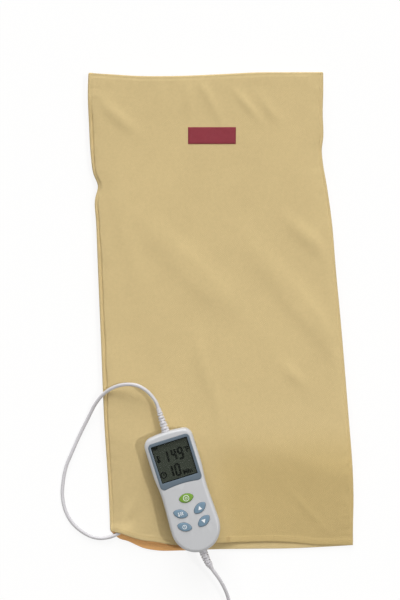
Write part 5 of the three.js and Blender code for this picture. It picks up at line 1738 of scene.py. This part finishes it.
def digitStrokes(digit, x, y, width):
    # seven strokes a to g with cut ends, leaning a little to the right
    strokes = []
    for name in inkAndShadeMarks["digitSegments"][digit]:
        start, end = np.array(inkAndShadeMarks["segmentEnds"][name]) * [width, inkAndShadeMarks["digitHeight"]]
        cut = inkAndShadeMarks["digitGap"] * unit(end - start)
        line = np.array([start + cut, end - cut])
        line[:, 0] += inkAndShadeMarks["slant"] * line[:, 1]
        strokes.append(line + [x, y])
    return strokes


def textShape(words, size, x, y, height):
    # plain lettering made a mesh, then laid in the controller's frame
    curve = bpy.data.curves.new("display" + words, "FONT")
    curve.body = words
    curve.size = size
    curve.extrude = lettering["half"]
    curve.offset = lettering["bolder"] * size
    curve.align_x = "CENTER"
    curve.align_y = "CENTER"
    helper = addObject("display" + words, curve)
    bpy.context.view_layer.update()
    mesh = bpy.data.meshes.new_from_object(helper.evaluated_get(bpy.context.evaluated_depsgraph_get()))
    points = np.zeros(len(mesh.vertices) * 3)
    mesh.vertices.foreach_get("co", points)
    faces = [list(face.vertices) for face in mesh.polygons]
    bpy.data.objects.remove(helper)
    bpy.data.curves.remove(curve)
    return points.reshape(-1, 3) + [x, y, height], faces


def displayInkAndShade():
    # what the glass shows: a temperature, a time and small plain signs; and a dark ring just inside the
    # bezel's opening, painted shade of the window's recess
    recessShade, (low, high) = inkAndShadeMarks["recessShade"], (display["panelTop"] + above for above in inkAndShadeMarks["above"])
    lines = [line for row in inkAndShadeMarks["digits"] for line in digitStrokes(*row)]
    parts = [ribbonBand(line, inkAndShadeMarks["stroke"], low, high) for line in lines]
    for place, rows in inkAndShadeMarks["signs"]:
        parts += paintSign(rows, place, low, high)
    edge = windowOutline(-recessShade["inside"], recessShade["corner"])
    heights = display["base"] - recessShade["low"], display["base"] - recessShade["high"]
    parts.append(ribbonBand(edge, recessShade["stroke"], *heights, closed=True))
    return dress(joinOnController("displayInkAndShade", parts, 30), "controller", "display", finishes["displayInkAndShade"])


frontHousing()
rearHousing()
displayBezel()
for key in keys:
    keyCap(key)
for key in keys:
    keyPrint(key)
displayInkAndShade()
print("controller assembled")


# Nodes of the frame that keep their own shape

nodeFinishes = {
    "blade": ["plug_blade_1", "plug_blade_2"],
    "wire": ["heating_wire"],
    "darkPart": ["thermal_cutout_1", "thermal_cutout_2", "triac", "microcontroller", "buzzer"],
    "window": ["display_window"],
    "display": ["lcd_panel"],
    "palePart": ["lcd_holder", "fuse"],
    "board": ["circuit_board"],
    "capacitor": ["film_capacitor"],
    "screw": [f"case_screw_{number}" for number in range(1, 5)],
}
nodeFinishes["darkPart"] += [f"{key['name']}_switch" for key in keys]
for finish, names in nodeFinishes.items():
    for name in names:
        materials = nodes[name].data.materials
        materials.clear()
        materials.append(finishes[finish])
print("frame nodes finished")
